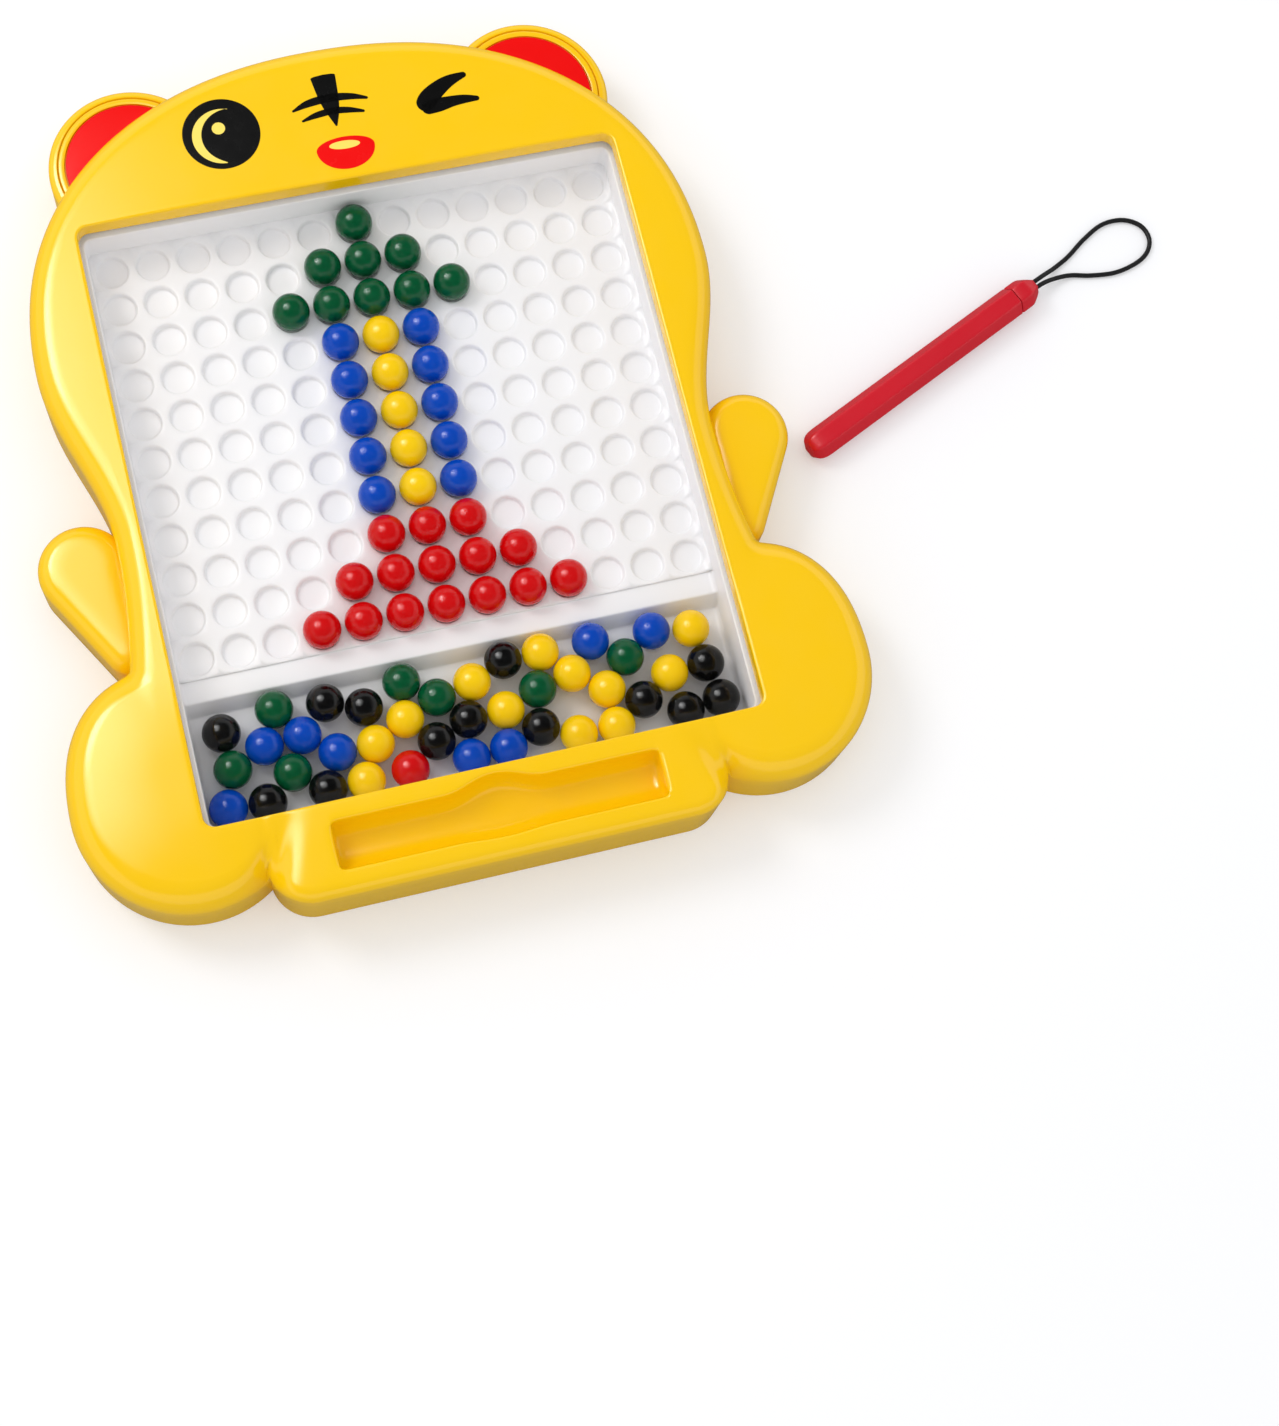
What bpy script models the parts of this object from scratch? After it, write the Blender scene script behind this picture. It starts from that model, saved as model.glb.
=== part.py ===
"""Magnetic drawing board for a child: a moulded bear-shaped frame with a bead tray under a clear cover.

Loose steel-cored beads lie in a trough below a grid of shallow dimples. A pen with a magnet in its tip
is held over the clear cover, lifts a bead against the cover's underside and drags it to a dimple.
The board lies on its back: +Z leaves the drawing face, +Y runs from the feet to the head, and the
origin is the middle of the flat back.
"""
import math

import bmesh
import bpy
import numpy as np
from mathutils import Vector

MM = 0.001

# Fits and cutters
TOUCH_GAP = 0.3 * MM
OVERRUN = 6.0 * MM

# Grid of dimples, and the beads that sit in it
PITCH = 12.5 * MM
COLUMNS = 13
ROWS = 11
GRID_CENTRE_Y = 13.2 * MM
BEAD_CLEARANCE = 1.1 * MM
BEAD_SPACING = 0.35 * MM
DIMPLE_RIM = 0.7 * MM
DIMPLE_DEPTH = 2.2 * MM

# Tray: field of dimples, sloping step, trough, walls and flange
FIELD_SIDE_MARGIN = 6.25 * MM
FIELD_HEAD_MARGIN = 6.25 * MM
LEDGE_WIDTH = 13.0 * MM
STEP_RUN = 2.8 * MM
STEP_HEIGHT = 6.0 * MM
TROUGH_WIDTH = 36.8 * MM
TROUGH_SHEET = 1.2 * MM
DIMPLE_FLOOR = 1.2 * MM
TRAY_WALL = 1.4 * MM
TRAY_CORNER = 2.4 * MM
FLANGE_WIDTH = 2.6 * MM
FLANGE_THICKNESS = 1.4 * MM

# Stack of layers above the floor
BACK_THICKNESS = 2.2 * MM
BEAD_HEADROOM = 0.6 * MM
COVER_THICKNESS = 1.2 * MM
COVER_CORNER = 3.0 * MM
LIP_HEIGHT = 5.9 * MM

# Window in the frame
WINDOW_REVEAL = 1.25 * MM
WINDOW_CORNER = 3.4 * MM
COLLAR_WALL = 1.8 * MM

# Frame shell: head and body in one outline, set off from the window's edges
SHELL_WALL = 2.2 * MM
HEAD_SIDE_MARGIN = 20.3 * MM
HEAD_TOP_MARGIN = 47.0 * MM
HEAD_WIDEST_DROP = 41.0 * MM
HEAD_EXPONENT = 2.2
WAIST_SIDE_MARGIN = 8.0 * MM
WAIST_DROP = 57.0 * MM
HIP_SIDE_MARGIN = 11.5 * MM
HIP_DROP = 36.2 * MM
BODY_FOOT_MARGIN = 4.85 * MM
BODY_EDGE = 7.0 * MM

# Feet, set off from the hips and the window's lower edge
FOOT_INSET = 8.0 * MM
FOOT_CENTRE_RISE = 11.85 * MM
FOOT_HALF_WIDTH = 33.1 * MM
FOOT_RISE = 39.5 * MM
FOOT_DROP = 33.8 * MM
FOOT_EXPONENT = 2.3
FOOT_SET_DOWN = 0.2 * MM
FOOT_EDGE = 8.0 * MM

# Pen groove in the handle bar, with a finger notch across it
GROOVE_LENGTH = 96.4 * MM
GROOVE_WIDTH = 14.2 * MM
GROOVE_DEPTH = 8.0 * MM
GROOVE_BELOW_WINDOW = 13.05 * MM
NOTCH_HALF_LENGTH = 14.0 * MM
NOTCH_HALF_WIDTH = 9.8 * MM
NOTCH_DEPTH = 5.0 * MM
NOTCH_SHIFT = 0.7 * MM

# Handle bar between the feet
HANDLE_SIDE_INSET = 18.0 * MM
HANDLE_BELOW_GROOVE = 14.1 * MM
HANDLE_LENGTH = 38.0 * MM
HANDLE_CORNER = 12.5 * MM
HANDLE_SET_DOWN = 0.4 * MM
HANDLE_EDGE = 4.0 * MM

# Ears, and their red inlays
EAR_INSET = 40.8 * MM
EAR_DROP = 25.2 * MM
EAR_RADIUS = 25.2 * MM
EAR_HEIGHT = 19.0 * MM
EAR_EDGE = 3.0 * MM
INLAY_BORDER = 5.4 * MM
INLAY_POCKET = 1.0 * MM
INLAY_THICKNESS = 1.0 * MM

# Arms, each a large round joined to a small one
ARM_OUTSET = 10.5 * MM
ARM_DROP = 2.5 * MM
ARM_RADIUS = 13.4 * MM
ARM_TIP_INSET = 7.5 * MM
ARM_LENGTH = 27.0 * MM
ARM_TIP_RADIUS = 6.6 * MM
ARM_HEIGHT = 20.0 * MM
ARM_EDGE = 5.0 * MM

# Screws through the back cover into bosses of the frame
SCREW_RADIUS = 1.3 * MM
SCREW_LENGTH = 11.0 * MM
SCREW_HEAD_RADIUS = 2.7 * MM
SCREW_HEAD_HEIGHT = 1.0 * MM
SCREW_HEAD_INSET = 0.1 * MM
BOSS_RADIUS = 3.6 * MM
EAR_SCREW_INSET = 22.0 * MM
EAR_SCREW_RISE = 5.0 * MM
SIDE_SCREW_INSET = 9.2 * MM
FOOT_SCREW_OUTSET = 12.0 * MM
FOOT_SCREW_DROP = 6.7 * MM

# Rib of the back cover that carries the tray's flange
RIB_WALL = 1.8 * MM
RIB_CLEARANCE = 0.5 * MM

# Magnetic pen, lying on the floor beside the right arm
PEN_END_CLEARANCE = 1.0 * MM
PEN_ACROSS_FLATS = 9.0 * MM
PEN_TIP_LENGTH = 5.0 * MM
PEN_CAP_LENGTH = 9.0 * MM
PEN_BORE_RADIUS = 2.6 * MM
PEN_TIP_WALL = 1.6 * MM
MAGNET_LENGTH = 8.0 * MM
CAP_SPIGOT_LENGTH = 6.0 * MM
PEN_BESIDE_ARM = 51.0 * MM
PEN_CENTRE_Y = -3.2 * MM
PEN_ANGLE = math.radians(24.3)
# How the hexagon shrinks over the rounded ends: (share of the end's length, share of the section)
PEN_END_SHARES = ((0.0, 0.45), (0.18, 0.72), (0.52, 0.92), (1.0, 1.0))

# Cord loop on the pen's cap: its diameter, the slot it leaves by, and the route by hand.
# Each point is (along the pen from its end face, sideways, above the floor).
CORD_DIAMETER = 1.5 * MM
CORD_SLOT_DEPTH = 5.0 * MM
CORD_POINT_SPACING = 3.2 * MM
CORD_SAMPLES = 24
LOOP_ROUTE = (
    (-0.0046, 0.00100, 0.0045), (0.0025, 0.00100, 0.0044), (0.0070, 0.00115, 0.0028),
    (0.0115, 0.00130, 0.0011), (0.0180, 0.00170, 0.0008), (0.0260, 0.00320, 0.0008),
    (0.0345, 0.00360, 0.0008), (0.0412, 0.00080, 0.0008), (0.0448, -0.00420, 0.0008),
    (0.0442, -0.00930, 0.0008), (0.0405, -0.01250, 0.0008), (0.0350, -0.01330, 0.0008),
    (0.0270, -0.01170, 0.0008), (0.0195, -0.00760, 0.0008), (0.0142, -0.00380, 0.0010),
    (0.0085, -0.00180, 0.0023), (0.0025, -0.00100, 0.0043), (-0.0046, -0.00100, 0.0045),
)

# Facets of round shapes
DOME_STEPS = 16
SIDE_STEPS = 8
HIP_STEPS = 4
LOBE_STEPS = 8
EDGE_STEPS = 3
CORNER_STEPS = 4
ROUND_SEGMENTS = 28
SMALL_ROUND_SEGMENTS = 10
BEAD_SEGMENTS = 8
BEAD_BANDS = 5
DIMPLE_SEGMENTS = 8
GROOVE_STEPS = 8
LOOP_SIDES_RESOLUTION = 2

# Beads and dimples, worked out from the pitch
BEAD_RADIUS = (PITCH - BEAD_CLEARANCE) / 2
DIMPLE_RADIUS = BEAD_RADIUS - DIMPLE_RIM

# Heights of the layers, worked out upwards from the floor
TROUGH_UNDERSIDE = BACK_THICKNESS + TOUCH_GAP
TROUGH_FLOOR = TROUGH_UNDERSIDE + TROUGH_SHEET
FIELD_TOP = TROUGH_FLOOR + STEP_HEIGHT
FIELD_UNDERSIDE = FIELD_TOP - DIMPLE_DEPTH - DIMPLE_FLOOR
COVER_BOTTOM = FIELD_TOP + 2 * BEAD_RADIUS + BEAD_HEADROOM
COVER_TOP = COVER_BOTTOM + COVER_THICKNESS
TRAY_TOP = COVER_BOTTOM - TOUCH_GAP
COLLAR_BOTTOM = COVER_TOP + TOUCH_GAP
FRAME_TOP = COLLAR_BOTTOM + LIP_HEIGHT
FOOT_TOP = FRAME_TOP - FOOT_SET_DOWN
HANDLE_TOP = FRAME_TOP - HANDLE_SET_DOWN

# Plan of the tray and the window, worked out from the grid
TRAY_HALF_WIDTH = (COLUMNS - 1) * PITCH / 2 + FIELD_SIDE_MARGIN
TRAY_HEAD_Y = GRID_CENTRE_Y + (ROWS - 1) * PITCH / 2 + FIELD_HEAD_MARGIN
STEP_TOP_Y = GRID_CENTRE_Y - (ROWS - 1) * PITCH / 2 - LEDGE_WIDTH
STEP_FOOT_Y = STEP_TOP_Y - STEP_RUN
TRAY_FOOT_Y = STEP_FOOT_Y - TROUGH_WIDTH
WINDOW_HALF_WIDTH = TRAY_HALF_WIDTH + WINDOW_REVEAL
WINDOW_HEAD_Y = TRAY_HEAD_Y + WINDOW_REVEAL
WINDOW_FOOT_Y = TRAY_FOOT_Y - WINDOW_REVEAL

# Plan of the frame, worked out from the window
HEAD_HALF_WIDTH = WINDOW_HALF_WIDTH + HEAD_SIDE_MARGIN
HEAD_TOP_Y = WINDOW_HEAD_Y + HEAD_TOP_MARGIN
HEAD_WIDEST_Y = WINDOW_HEAD_Y - HEAD_WIDEST_DROP
WAIST_HALF_WIDTH = WINDOW_HALF_WIDTH + WAIST_SIDE_MARGIN
WAIST_Y = HEAD_WIDEST_Y - WAIST_DROP
HIP_HALF_WIDTH = WINDOW_HALF_WIDTH + HIP_SIDE_MARGIN
HIP_Y = WAIST_Y - HIP_DROP
BODY_FOOT_Y = WINDOW_FOOT_Y - BODY_FOOT_MARGIN
FOOT_CENTRE_X = HIP_HALF_WIDTH - FOOT_INSET
FOOT_CENTRE_Y = WINDOW_FOOT_Y + FOOT_CENTRE_RISE
GROOVE_CENTRE_Y = WINDOW_FOOT_Y - GROOVE_BELOW_WINDOW
HANDLE_HALF_WIDTH = FOOT_CENTRE_X - HANDLE_SIDE_INSET
HANDLE_BOTTOM_Y = GROOVE_CENTRE_Y - HANDLE_BELOW_GROOVE
EAR_CENTRE_X = HEAD_HALF_WIDTH - EAR_INSET
EAR_CENTRE_Y = HEAD_TOP_Y - EAR_DROP
INLAY_RADIUS = EAR_RADIUS - INLAY_BORDER
ARM_CENTRE_X = WAIST_HALF_WIDTH + ARM_OUTSET
ARM_CENTRE_Y = WAIST_Y - ARM_DROP
ARM_TIP_X = ARM_CENTRE_X - ARM_TIP_INSET
ARM_TIP_Y = ARM_CENTRE_Y - ARM_LENGTH

# Pen, worked out from the groove that holds it and the arm that it lies beside
PEN_LENGTH = GROOVE_LENGTH - 2 * PEN_END_CLEARANCE
PEN_CORNER_RADIUS = PEN_ACROSS_FLATS / math.sqrt(3)
PEN_CENTRE_X = ARM_CENTRE_X + ARM_RADIUS + PEN_BESIDE_ARM

# Picture laid in the dimples: colour, then columns and rows counted from the head's left corner
PICTURE = (
    ("green", [(6, 0), (5, 1), (6, 1), (7, 1)] + [(column, 2) for column in range(4, 9)]),
    ("blue_left", [(5, row) for row in range(3, 8)]),
    ("blue_right", [(7, row) for row in range(3, 8)]),
    ("yellow", [(6, row) for row in range(3, 8)]),
    ("red", [(column, row) for row, reach in ((8, 1), (9, 2), (10, 3))
             for column in range(6 - reach, 7 + reach)]),
)

# One loose bead of each colour in the trough: its share of the trough's length from the left wall,
# and of its width from the foot of the step, both counted between the places where it touches
LOOSE_BEAD_SHARES = {
    "black": (0.225, 0.05),
    "green": (0.024, 0.56),
    "blue": (0.555, 0.98),
    "yellow": (0.968, 0.10),
    "red": (0.358, 0.98),
}

# Colours, as linear red, green and blue
COLOURS = {
    "frame_yellow": (0.95, 0.62, 0.012),
    "back_yellow": (0.90, 0.56, 0.012),
    "tray_white": (0.86, 0.86, 0.88),
    "clear": (0.95, 0.97, 1.0),
    "inlay_red": (0.80, 0.010, 0.015),
    "steel": (0.55, 0.55, 0.56),
    "green": (0.0, 0.125, 0.040),
    "blue": (0.0, 0.055, 0.50),
    "yellow": (0.95, 0.52, 0.002),
    "red": (0.65, 0.002, 0.002),
    "black": (0.006, 0.006, 0.007),
    "pen_red": (0.60, 0.010, 0.025),
    "magnet": (0.30, 0.30, 0.31),
    "cord_black": (0.010, 0.010, 0.011),
}
ROUGHNESS = {"frame_yellow": 0.35, "back_yellow": 0.40, "tray_white": 0.30, "clear": 0.05,
             "inlay_red": 0.35, "steel": 0.30, "pen_red": 0.35, "magnet": 0.25, "cord_black": 0.70}
BEAD_ROUGHNESS = 0.15
METALLIC = {"steel": 1.0, "magnet": 1.0}
COVER_ALPHA = 0.15


def material(name):
    """One Principled material for each finish, made the first time it is asked for."""
    found = bpy.data.materials.get(name)
    if found:
        return found
    made = bpy.data.materials.new(name)
    made.use_nodes = True
    shader = made.node_tree.nodes["Principled BSDF"]
    shader.inputs["Base Color"].default_value = (*COLOURS[name], 1.0)
    shader.inputs["Roughness"].default_value = ROUGHNESS.get(name, BEAD_ROUGHNESS)
    shader.inputs["Metallic"].default_value = METALLIC.get(name, 0.0)
    if name == "clear":
        shader.inputs["Alpha"].default_value = COVER_ALPHA
    return made


def new_object(name, vertices, faces):
    """A mesh object from its points and faces, with the faces turned outwards."""
    mesh = bpy.data.meshes.new(name)
    mesh.from_pydata([tuple(v) for v in vertices], [], faces)
    shape = bmesh.new()
    shape.from_mesh(mesh)
    bmesh.ops.recalc_face_normals(shape, faces=shape.faces)
    shape.to_mesh(mesh)
    shape.free()
    made = bpy.data.objects.new(name, mesh)
    bpy.context.collection.objects.link(made)
    return made


def loft(name, rings):
    """A closed solid through rings of equally many points, capped flat at both ends."""
    count = len(rings[0])
    vertices = [point for ring in rings for point in ring]
    faces = []
    for level in range(len(rings) - 1):
        low, high = level * count, (level + 1) * count
        for i in range(count):
            j = (i + 1) % count
            faces.append((low + i, low + j, high + j, high + i))
    faces.append(tuple(range(count))[::-1])
    faces.append(tuple((len(rings) - 1) * count + i for i in range(count)))
    return new_object(name, vertices, faces)


def boolean(target, tools, operation):
    """Join or cut the target with each tool in turn, and delete the tools."""
    for tool in tools:
        step = target.modifiers.new(operation.lower(), "BOOLEAN")
        step.operation = operation
        step.solver = "EXACT"
        step.object = tool
        bpy.context.view_layer.update()
        graph = bpy.context.evaluated_depsgraph_get()
        result = bpy.data.meshes.new_from_object(target.evaluated_get(graph))
        target.modifiers.clear()
        target.data = result
        bpy.data.objects.remove(tool)
    return target


def finish(target, colour, name=None, smooth_angle=math.radians(35)):
    """Give a piece its name and material, and shade its round faces smooth."""
    if name:
        target.name = name
        target.data.name = name
    target.data.materials.clear()
    target.data.materials.append(material(colour))
    target.data.shade_smooth()
    target.data.set_sharp_from_angle(angle=smooth_angle)
    return target


def mirrored(outline):
    """The same outline on the other side of the board, still running anticlockwise."""
    return [(-x, y) for x, y in reversed(outline)]


def inset(outline, distance):
    """The outline moved inwards by a distance, each corner along its own bisector."""
    points = np.array(outline)
    ahead = np.roll(points, -1, axis=0) - points
    ahead /= np.linalg.norm(ahead, axis=1)[:, None]
    inward = np.stack([-ahead[:, 1], ahead[:, 0]], axis=1)
    behind = np.roll(inward, 1, axis=0)
    bisector = inward + behind
    bisector *= 2 / (bisector ** 2).sum(axis=1)[:, None]
    return [tuple(p) for p in points + bisector * distance]


def prism(name, outline, bottom, top):
    """An upright solid of one outline."""
    return loft(name, [[(x, y, z) for x, y in outline] for z in (bottom, top)])


def pillow(name, outline, bottom, top, edge):
    """An upright solid whose upper edge is rounded by a quarter circle."""
    rings = [[(x, y, bottom) for x, y in outline]]
    for step in range(EDGE_STEPS + 1):
        turn = math.pi / 2 * step / EDGE_STEPS
        pulled = inset(outline, edge * (1 - math.cos(turn)))
        rings.append([(x, y, top - edge + edge * math.sin(turn)) for x, y in pulled])
    return loft(name, rings)


def quarter(half_width, rise, exponent, steps):
    """A quarter of a superellipse, from its side point up to its top point."""
    turns = [math.pi / 2 * i / steps for i in range(steps + 1)]
    power = 2 / exponent
    return [(half_width * math.cos(t) ** power if i < steps else 0.0, rise * math.sin(t) ** power)
            for i, t in enumerate(turns)]


def circle(x, y, radius, segments=ROUND_SEGMENTS):
    """A round outline."""
    turns = [2 * math.pi * i / segments for i in range(segments)]
    return [(x + radius * math.cos(t), y + radius * math.sin(t)) for t in turns]


def rounded_rectangle(left, right, low, high, radius):
    """A rectangle with quarter-circle corners."""
    corners = ((right - radius, low + radius, -0.5), (right - radius, high - radius, 0.0),
               (left + radius, high - radius, 0.5), (left + radius, low + radius, 1.0))
    points = []
    for x, y, half_turns in corners:
        for step in range(CORNER_STEPS + 1):
            turn = math.pi * (half_turns + step / CORNER_STEPS / 2)
            points.append((x + radius * math.cos(turn), y + radius * math.sin(turn)))
    return points


def egg(x, y, radius, tip_x, tip_y, tip_radius, steps):
    """The outline of a large and a small circle joined by their outer tangents."""
    span = math.hypot(tip_x - x, tip_y - y)
    axis = math.atan2(tip_y - y, tip_x - x)
    opening = math.acos((radius - tip_radius) / span)
    points = []
    for i in range(2 * steps + 1):
        turn = axis + opening + (2 * math.pi - 2 * opening) * i / (2 * steps)
        points.append((x + radius * math.cos(turn), y + radius * math.sin(turn)))
    for i in range(steps + 1):
        turn = axis - opening + 2 * opening * i / steps
        points.append((tip_x + tip_radius * math.cos(turn), tip_y + tip_radius * math.sin(turn)))
    return points


def body_outline():
    """Head and body: a superelliptic dome, eased in to the waist and out again to the hips."""
    right = [(HIP_HALF_WIDTH, BODY_FOOT_Y)]
    for i in range(HIP_STEPS):
        share = i / HIP_STEPS
        flare = (1 - share) ** 2
        right.append((WAIST_HALF_WIDTH + (HIP_HALF_WIDTH - WAIST_HALF_WIDTH) * flare,
                      HIP_Y + (WAIST_Y - HIP_Y) * share))
    for i in range(SIDE_STEPS):
        share = i / SIDE_STEPS
        ease = (1 - math.cos(math.pi * share)) / 2
        right.append((WAIST_HALF_WIDTH + (HEAD_HALF_WIDTH - WAIST_HALF_WIDTH) * ease,
                      WAIST_Y + (HEAD_WIDEST_Y - WAIST_Y) * share))
    dome = quarter(HEAD_HALF_WIDTH, HEAD_TOP_Y - HEAD_WIDEST_Y, HEAD_EXPONENT, DOME_STEPS)
    right += [(x, HEAD_WIDEST_Y + y) for x, y in dome]
    return right + mirrored(right)[1:]


def foot_outline():
    """Right foot: a superelliptic instep over a round toe."""
    upper = quarter(FOOT_HALF_WIDTH, FOOT_RISE, FOOT_EXPONENT, LOBE_STEPS)
    lower = quarter(FOOT_HALF_WIDTH, FOOT_DROP, 2.0, LOBE_STEPS)
    loop = upper + mirrored(upper)[1:]
    loop += [(-x, -y) for x, y in lower[1:]] + [(x, -y) for x, y in reversed(lower[1:-1])]
    return [(FOOT_CENTRE_X + x, FOOT_CENTRE_Y + y) for x, y in loop]


def handle_outline():
    """Handle bar across the feet, whose upper part runs in under the window."""
    return rounded_rectangle(-HANDLE_HALF_WIDTH, HANDLE_HALF_WIDTH, HANDLE_BOTTOM_Y,
                             HANDLE_BOTTOM_Y + HANDLE_LENGTH, HANDLE_CORNER)


def ear_outline():
    """Right ear."""
    return circle(EAR_CENTRE_X, EAR_CENTRE_Y, EAR_RADIUS)


def arm_outline():
    """Right arm."""
    return egg(ARM_CENTRE_X, ARM_CENTRE_Y, ARM_RADIUS, ARM_TIP_X, ARM_TIP_Y, ARM_TIP_RADIUS, LOBE_STEPS)


def frame_lobes():
    """Every lobe of the frame by name: its outline, its height and the radius of its upper edge."""
    lobes = {"body": (body_outline(), FRAME_TOP, BODY_EDGE),
             "handle": (handle_outline(), HANDLE_TOP, HANDLE_EDGE)}
    for name, outline, top, edge in (("foot", foot_outline(), FOOT_TOP, FOOT_EDGE),
                                     ("ear", ear_outline(), EAR_HEIGHT, EAR_EDGE),
                                     ("arm", arm_outline(), ARM_HEIGHT, ARM_EDGE)):
        lobes["right_" + name] = (outline, top, edge)
        lobes["left_" + name] = (mirrored(outline), top, edge)
    return lobes


def window_outline(grow, corner):
    """The window's opening, or a rectangle that runs past it by a distance."""
    reach = WINDOW_HALF_WIDTH + grow
    return rounded_rectangle(-reach, reach, WINDOW_FOOT_Y - grow, WINDOW_HEAD_Y + grow, corner)


def screw_places():
    """The six screws, in mirrored pairs from the head to the feet."""
    pairs = ((EAR_CENTRE_X - EAR_SCREW_INSET, EAR_CENTRE_Y + EAR_SCREW_RISE),
             (HEAD_HALF_WIDTH - SIDE_SCREW_INSET, HEAD_WIDEST_Y),
             (FOOT_CENTRE_X + FOOT_SCREW_OUTSET, FOOT_CENTRE_Y - FOOT_SCREW_DROP))
    return [(side * x, y) for x, y in pairs for side in (-1, 1)]


def groove_solid(name, grow):
    """The pen groove as a solid: a half-round channel, larger all round by a wall."""
    radius = GROOVE_WIDTH / 2 + grow
    straight_z = HANDLE_TOP - (GROOVE_DEPTH - GROOVE_WIDTH / 2)
    top_z = FRAME_TOP + OVERRUN
    profile = [(radius, top_z)]
    for step in range(GROOVE_STEPS + 1):
        turn = math.pi * step / GROOVE_STEPS
        profile.append((radius * math.cos(turn), straight_z - radius * math.sin(turn)))
    profile.append((-radius, top_z))
    half = GROOVE_LENGTH / 2 + grow
    return loft(name, [[(x, GROOVE_CENTRE_Y + y, z) for y, z in profile] for x in (-half, half)])


def notch_solid(name, grow):
    """The finger notch as an ellipsoid, larger all round by a wall."""
    shape = bmesh.new()
    bmesh.ops.create_uvsphere(shape, u_segments=ROUND_SEGMENTS // 2, v_segments=SMALL_ROUND_SEGMENTS,
                              radius=1)
    radii = Vector((NOTCH_HALF_LENGTH + grow, NOTCH_HALF_WIDTH + grow, NOTCH_DEPTH + grow))
    bmesh.ops.scale(shape, vec=radii, verts=shape.verts)
    bmesh.ops.translate(shape, vec=(0, GROOVE_CENTRE_Y + NOTCH_SHIFT, HANDLE_TOP), verts=shape.verts)
    mesh = bpy.data.meshes.new(name)
    shape.to_mesh(mesh)
    shape.free()
    made = bpy.data.objects.new(name, mesh)
    bpy.context.collection.objects.link(made)
    return made


def inlay_disc(name, side, radius, bottom, top):
    """The round of an ear's inlay, or of its pocket, before the head covers part of it."""
    return prism(name, circle(side * EAR_CENTRE_X, EAR_CENTRE_Y, radius), bottom, top)


def build_front_shell():
    """Yellow frame: a hollow moulding open at the back, with the window's collar, groove and bosses."""
    lobes = frame_lobes()
    solids = {name: pillow(name, outline, 0.0, top, edge) for name, (outline, top, edge) in lobes.items()}
    for name, side in (("left_ear", -1), ("right_ear", 1)):
        pocket = inlay_disc("pocket", side, INLAY_RADIUS + TOUCH_GAP, EAR_HEIGHT - INLAY_POCKET,
                            EAR_HEIGHT + OVERRUN)
        boolean(solids[name], [pocket], "DIFFERENCE")
    shell = solids.pop("body")
    boolean(shell, solids.values(), "UNION")

    hollows = [pillow("hollow", inset(outline, SHELL_WALL), -OVERRUN - number * TOUCH_GAP,
                      top - SHELL_WALL, max(edge - SHELL_WALL, TOUCH_GAP))
               for number, (outline, top, edge) in enumerate(lobes.values())]
    cavity = boolean(hollows[0], hollows[1:], "UNION")
    collar = prism("collar", window_outline(COLLAR_WALL, WINDOW_CORNER + COLLAR_WALL),
                   COLLAR_BOTTOM, FRAME_TOP + OVERRUN)
    bosses = [prism("boss", circle(x, y, BOSS_RADIUS, SMALL_ROUND_SEGMENTS), BACK_THICKNESS + TOUCH_GAP,
                    FRAME_TOP + OVERRUN) for x, y in screw_places()]
    kept = [collar, groove_solid("groove_wall", SHELL_WALL), notch_solid("notch_wall", SHELL_WALL)]
    boolean(cavity, kept + bosses, "DIFFERENCE")
    boolean(shell, [cavity], "DIFFERENCE")

    hole_top = SCREW_HEAD_INSET + SCREW_HEAD_HEIGHT + SCREW_LENGTH + TOUCH_GAP
    holes = [prism("screw_hole", circle(x, y, SCREW_RADIUS + TOUCH_GAP, SMALL_ROUND_SEGMENTS), 0.0, hole_top)
             for x, y in screw_places()]
    window = prism("window", window_outline(0.0, WINDOW_CORNER), -OVERRUN, FRAME_TOP + OVERRUN)
    boolean(shell, [window, groove_solid("groove", 0.0), notch_solid("notch", 0.0)] + holes, "DIFFERENCE")
    return finish(shell, "frame_yellow", "front_shell")


def build_back_cover():
    """Flat back plate inside the frame's rim, with counterbored screw holes and the tray's rib."""
    plate = None
    for outline, _, _ in frame_lobes().values():
        sheet = prism("sheet", inset(outline, SHELL_WALL + TOUCH_GAP), 0.0, BACK_THICKNESS)
        plate = boolean(plate, [sheet], "UNION") if plate else sheet
    inner = TRAY_WALL + RIB_CLEARANCE - WINDOW_REVEAL
    rib_top = TRAY_TOP - FLANGE_THICKNESS - TOUCH_GAP
    rib = prism("rib", window_outline(inner + RIB_WALL, TRAY_CORNER + RIB_WALL), BACK_THICKNESS / 2, rib_top)
    hollow = prism("hollow", window_outline(inner, TRAY_CORNER), 0.0, rib_top + OVERRUN)
    boolean(rib, [hollow], "DIFFERENCE")
    boolean(plate, [rib], "UNION")
    seat = SCREW_HEAD_INSET + SCREW_HEAD_HEIGHT + TOUCH_GAP
    for x, y in screw_places():
        hole = circle(x, y, SCREW_RADIUS + TOUCH_GAP, SMALL_ROUND_SEGMENTS)
        bore = prism("bore", hole, 0.0, BACK_THICKNESS + OVERRUN)
        sink = circle(x, y, SCREW_HEAD_RADIUS + TOUCH_GAP, SMALL_ROUND_SEGMENTS)
        well = prism("well", sink, -OVERRUN, seat)
        boolean(bore, [well], "UNION")
        boolean(plate, [bore], "DIFFERENCE")
    return finish(plate, "back_yellow", "back_cover")


def dimple_centres():
    """Centres of the grid's dimples, by column from the left and row from the head."""
    return {(c, r): ((c - (COLUMNS - 1) / 2) * PITCH, GRID_CENTRE_Y + ((ROWS - 1) / 2 - r) * PITCH)
            for c in range(COLUMNS) for r in range(ROWS)}


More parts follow.
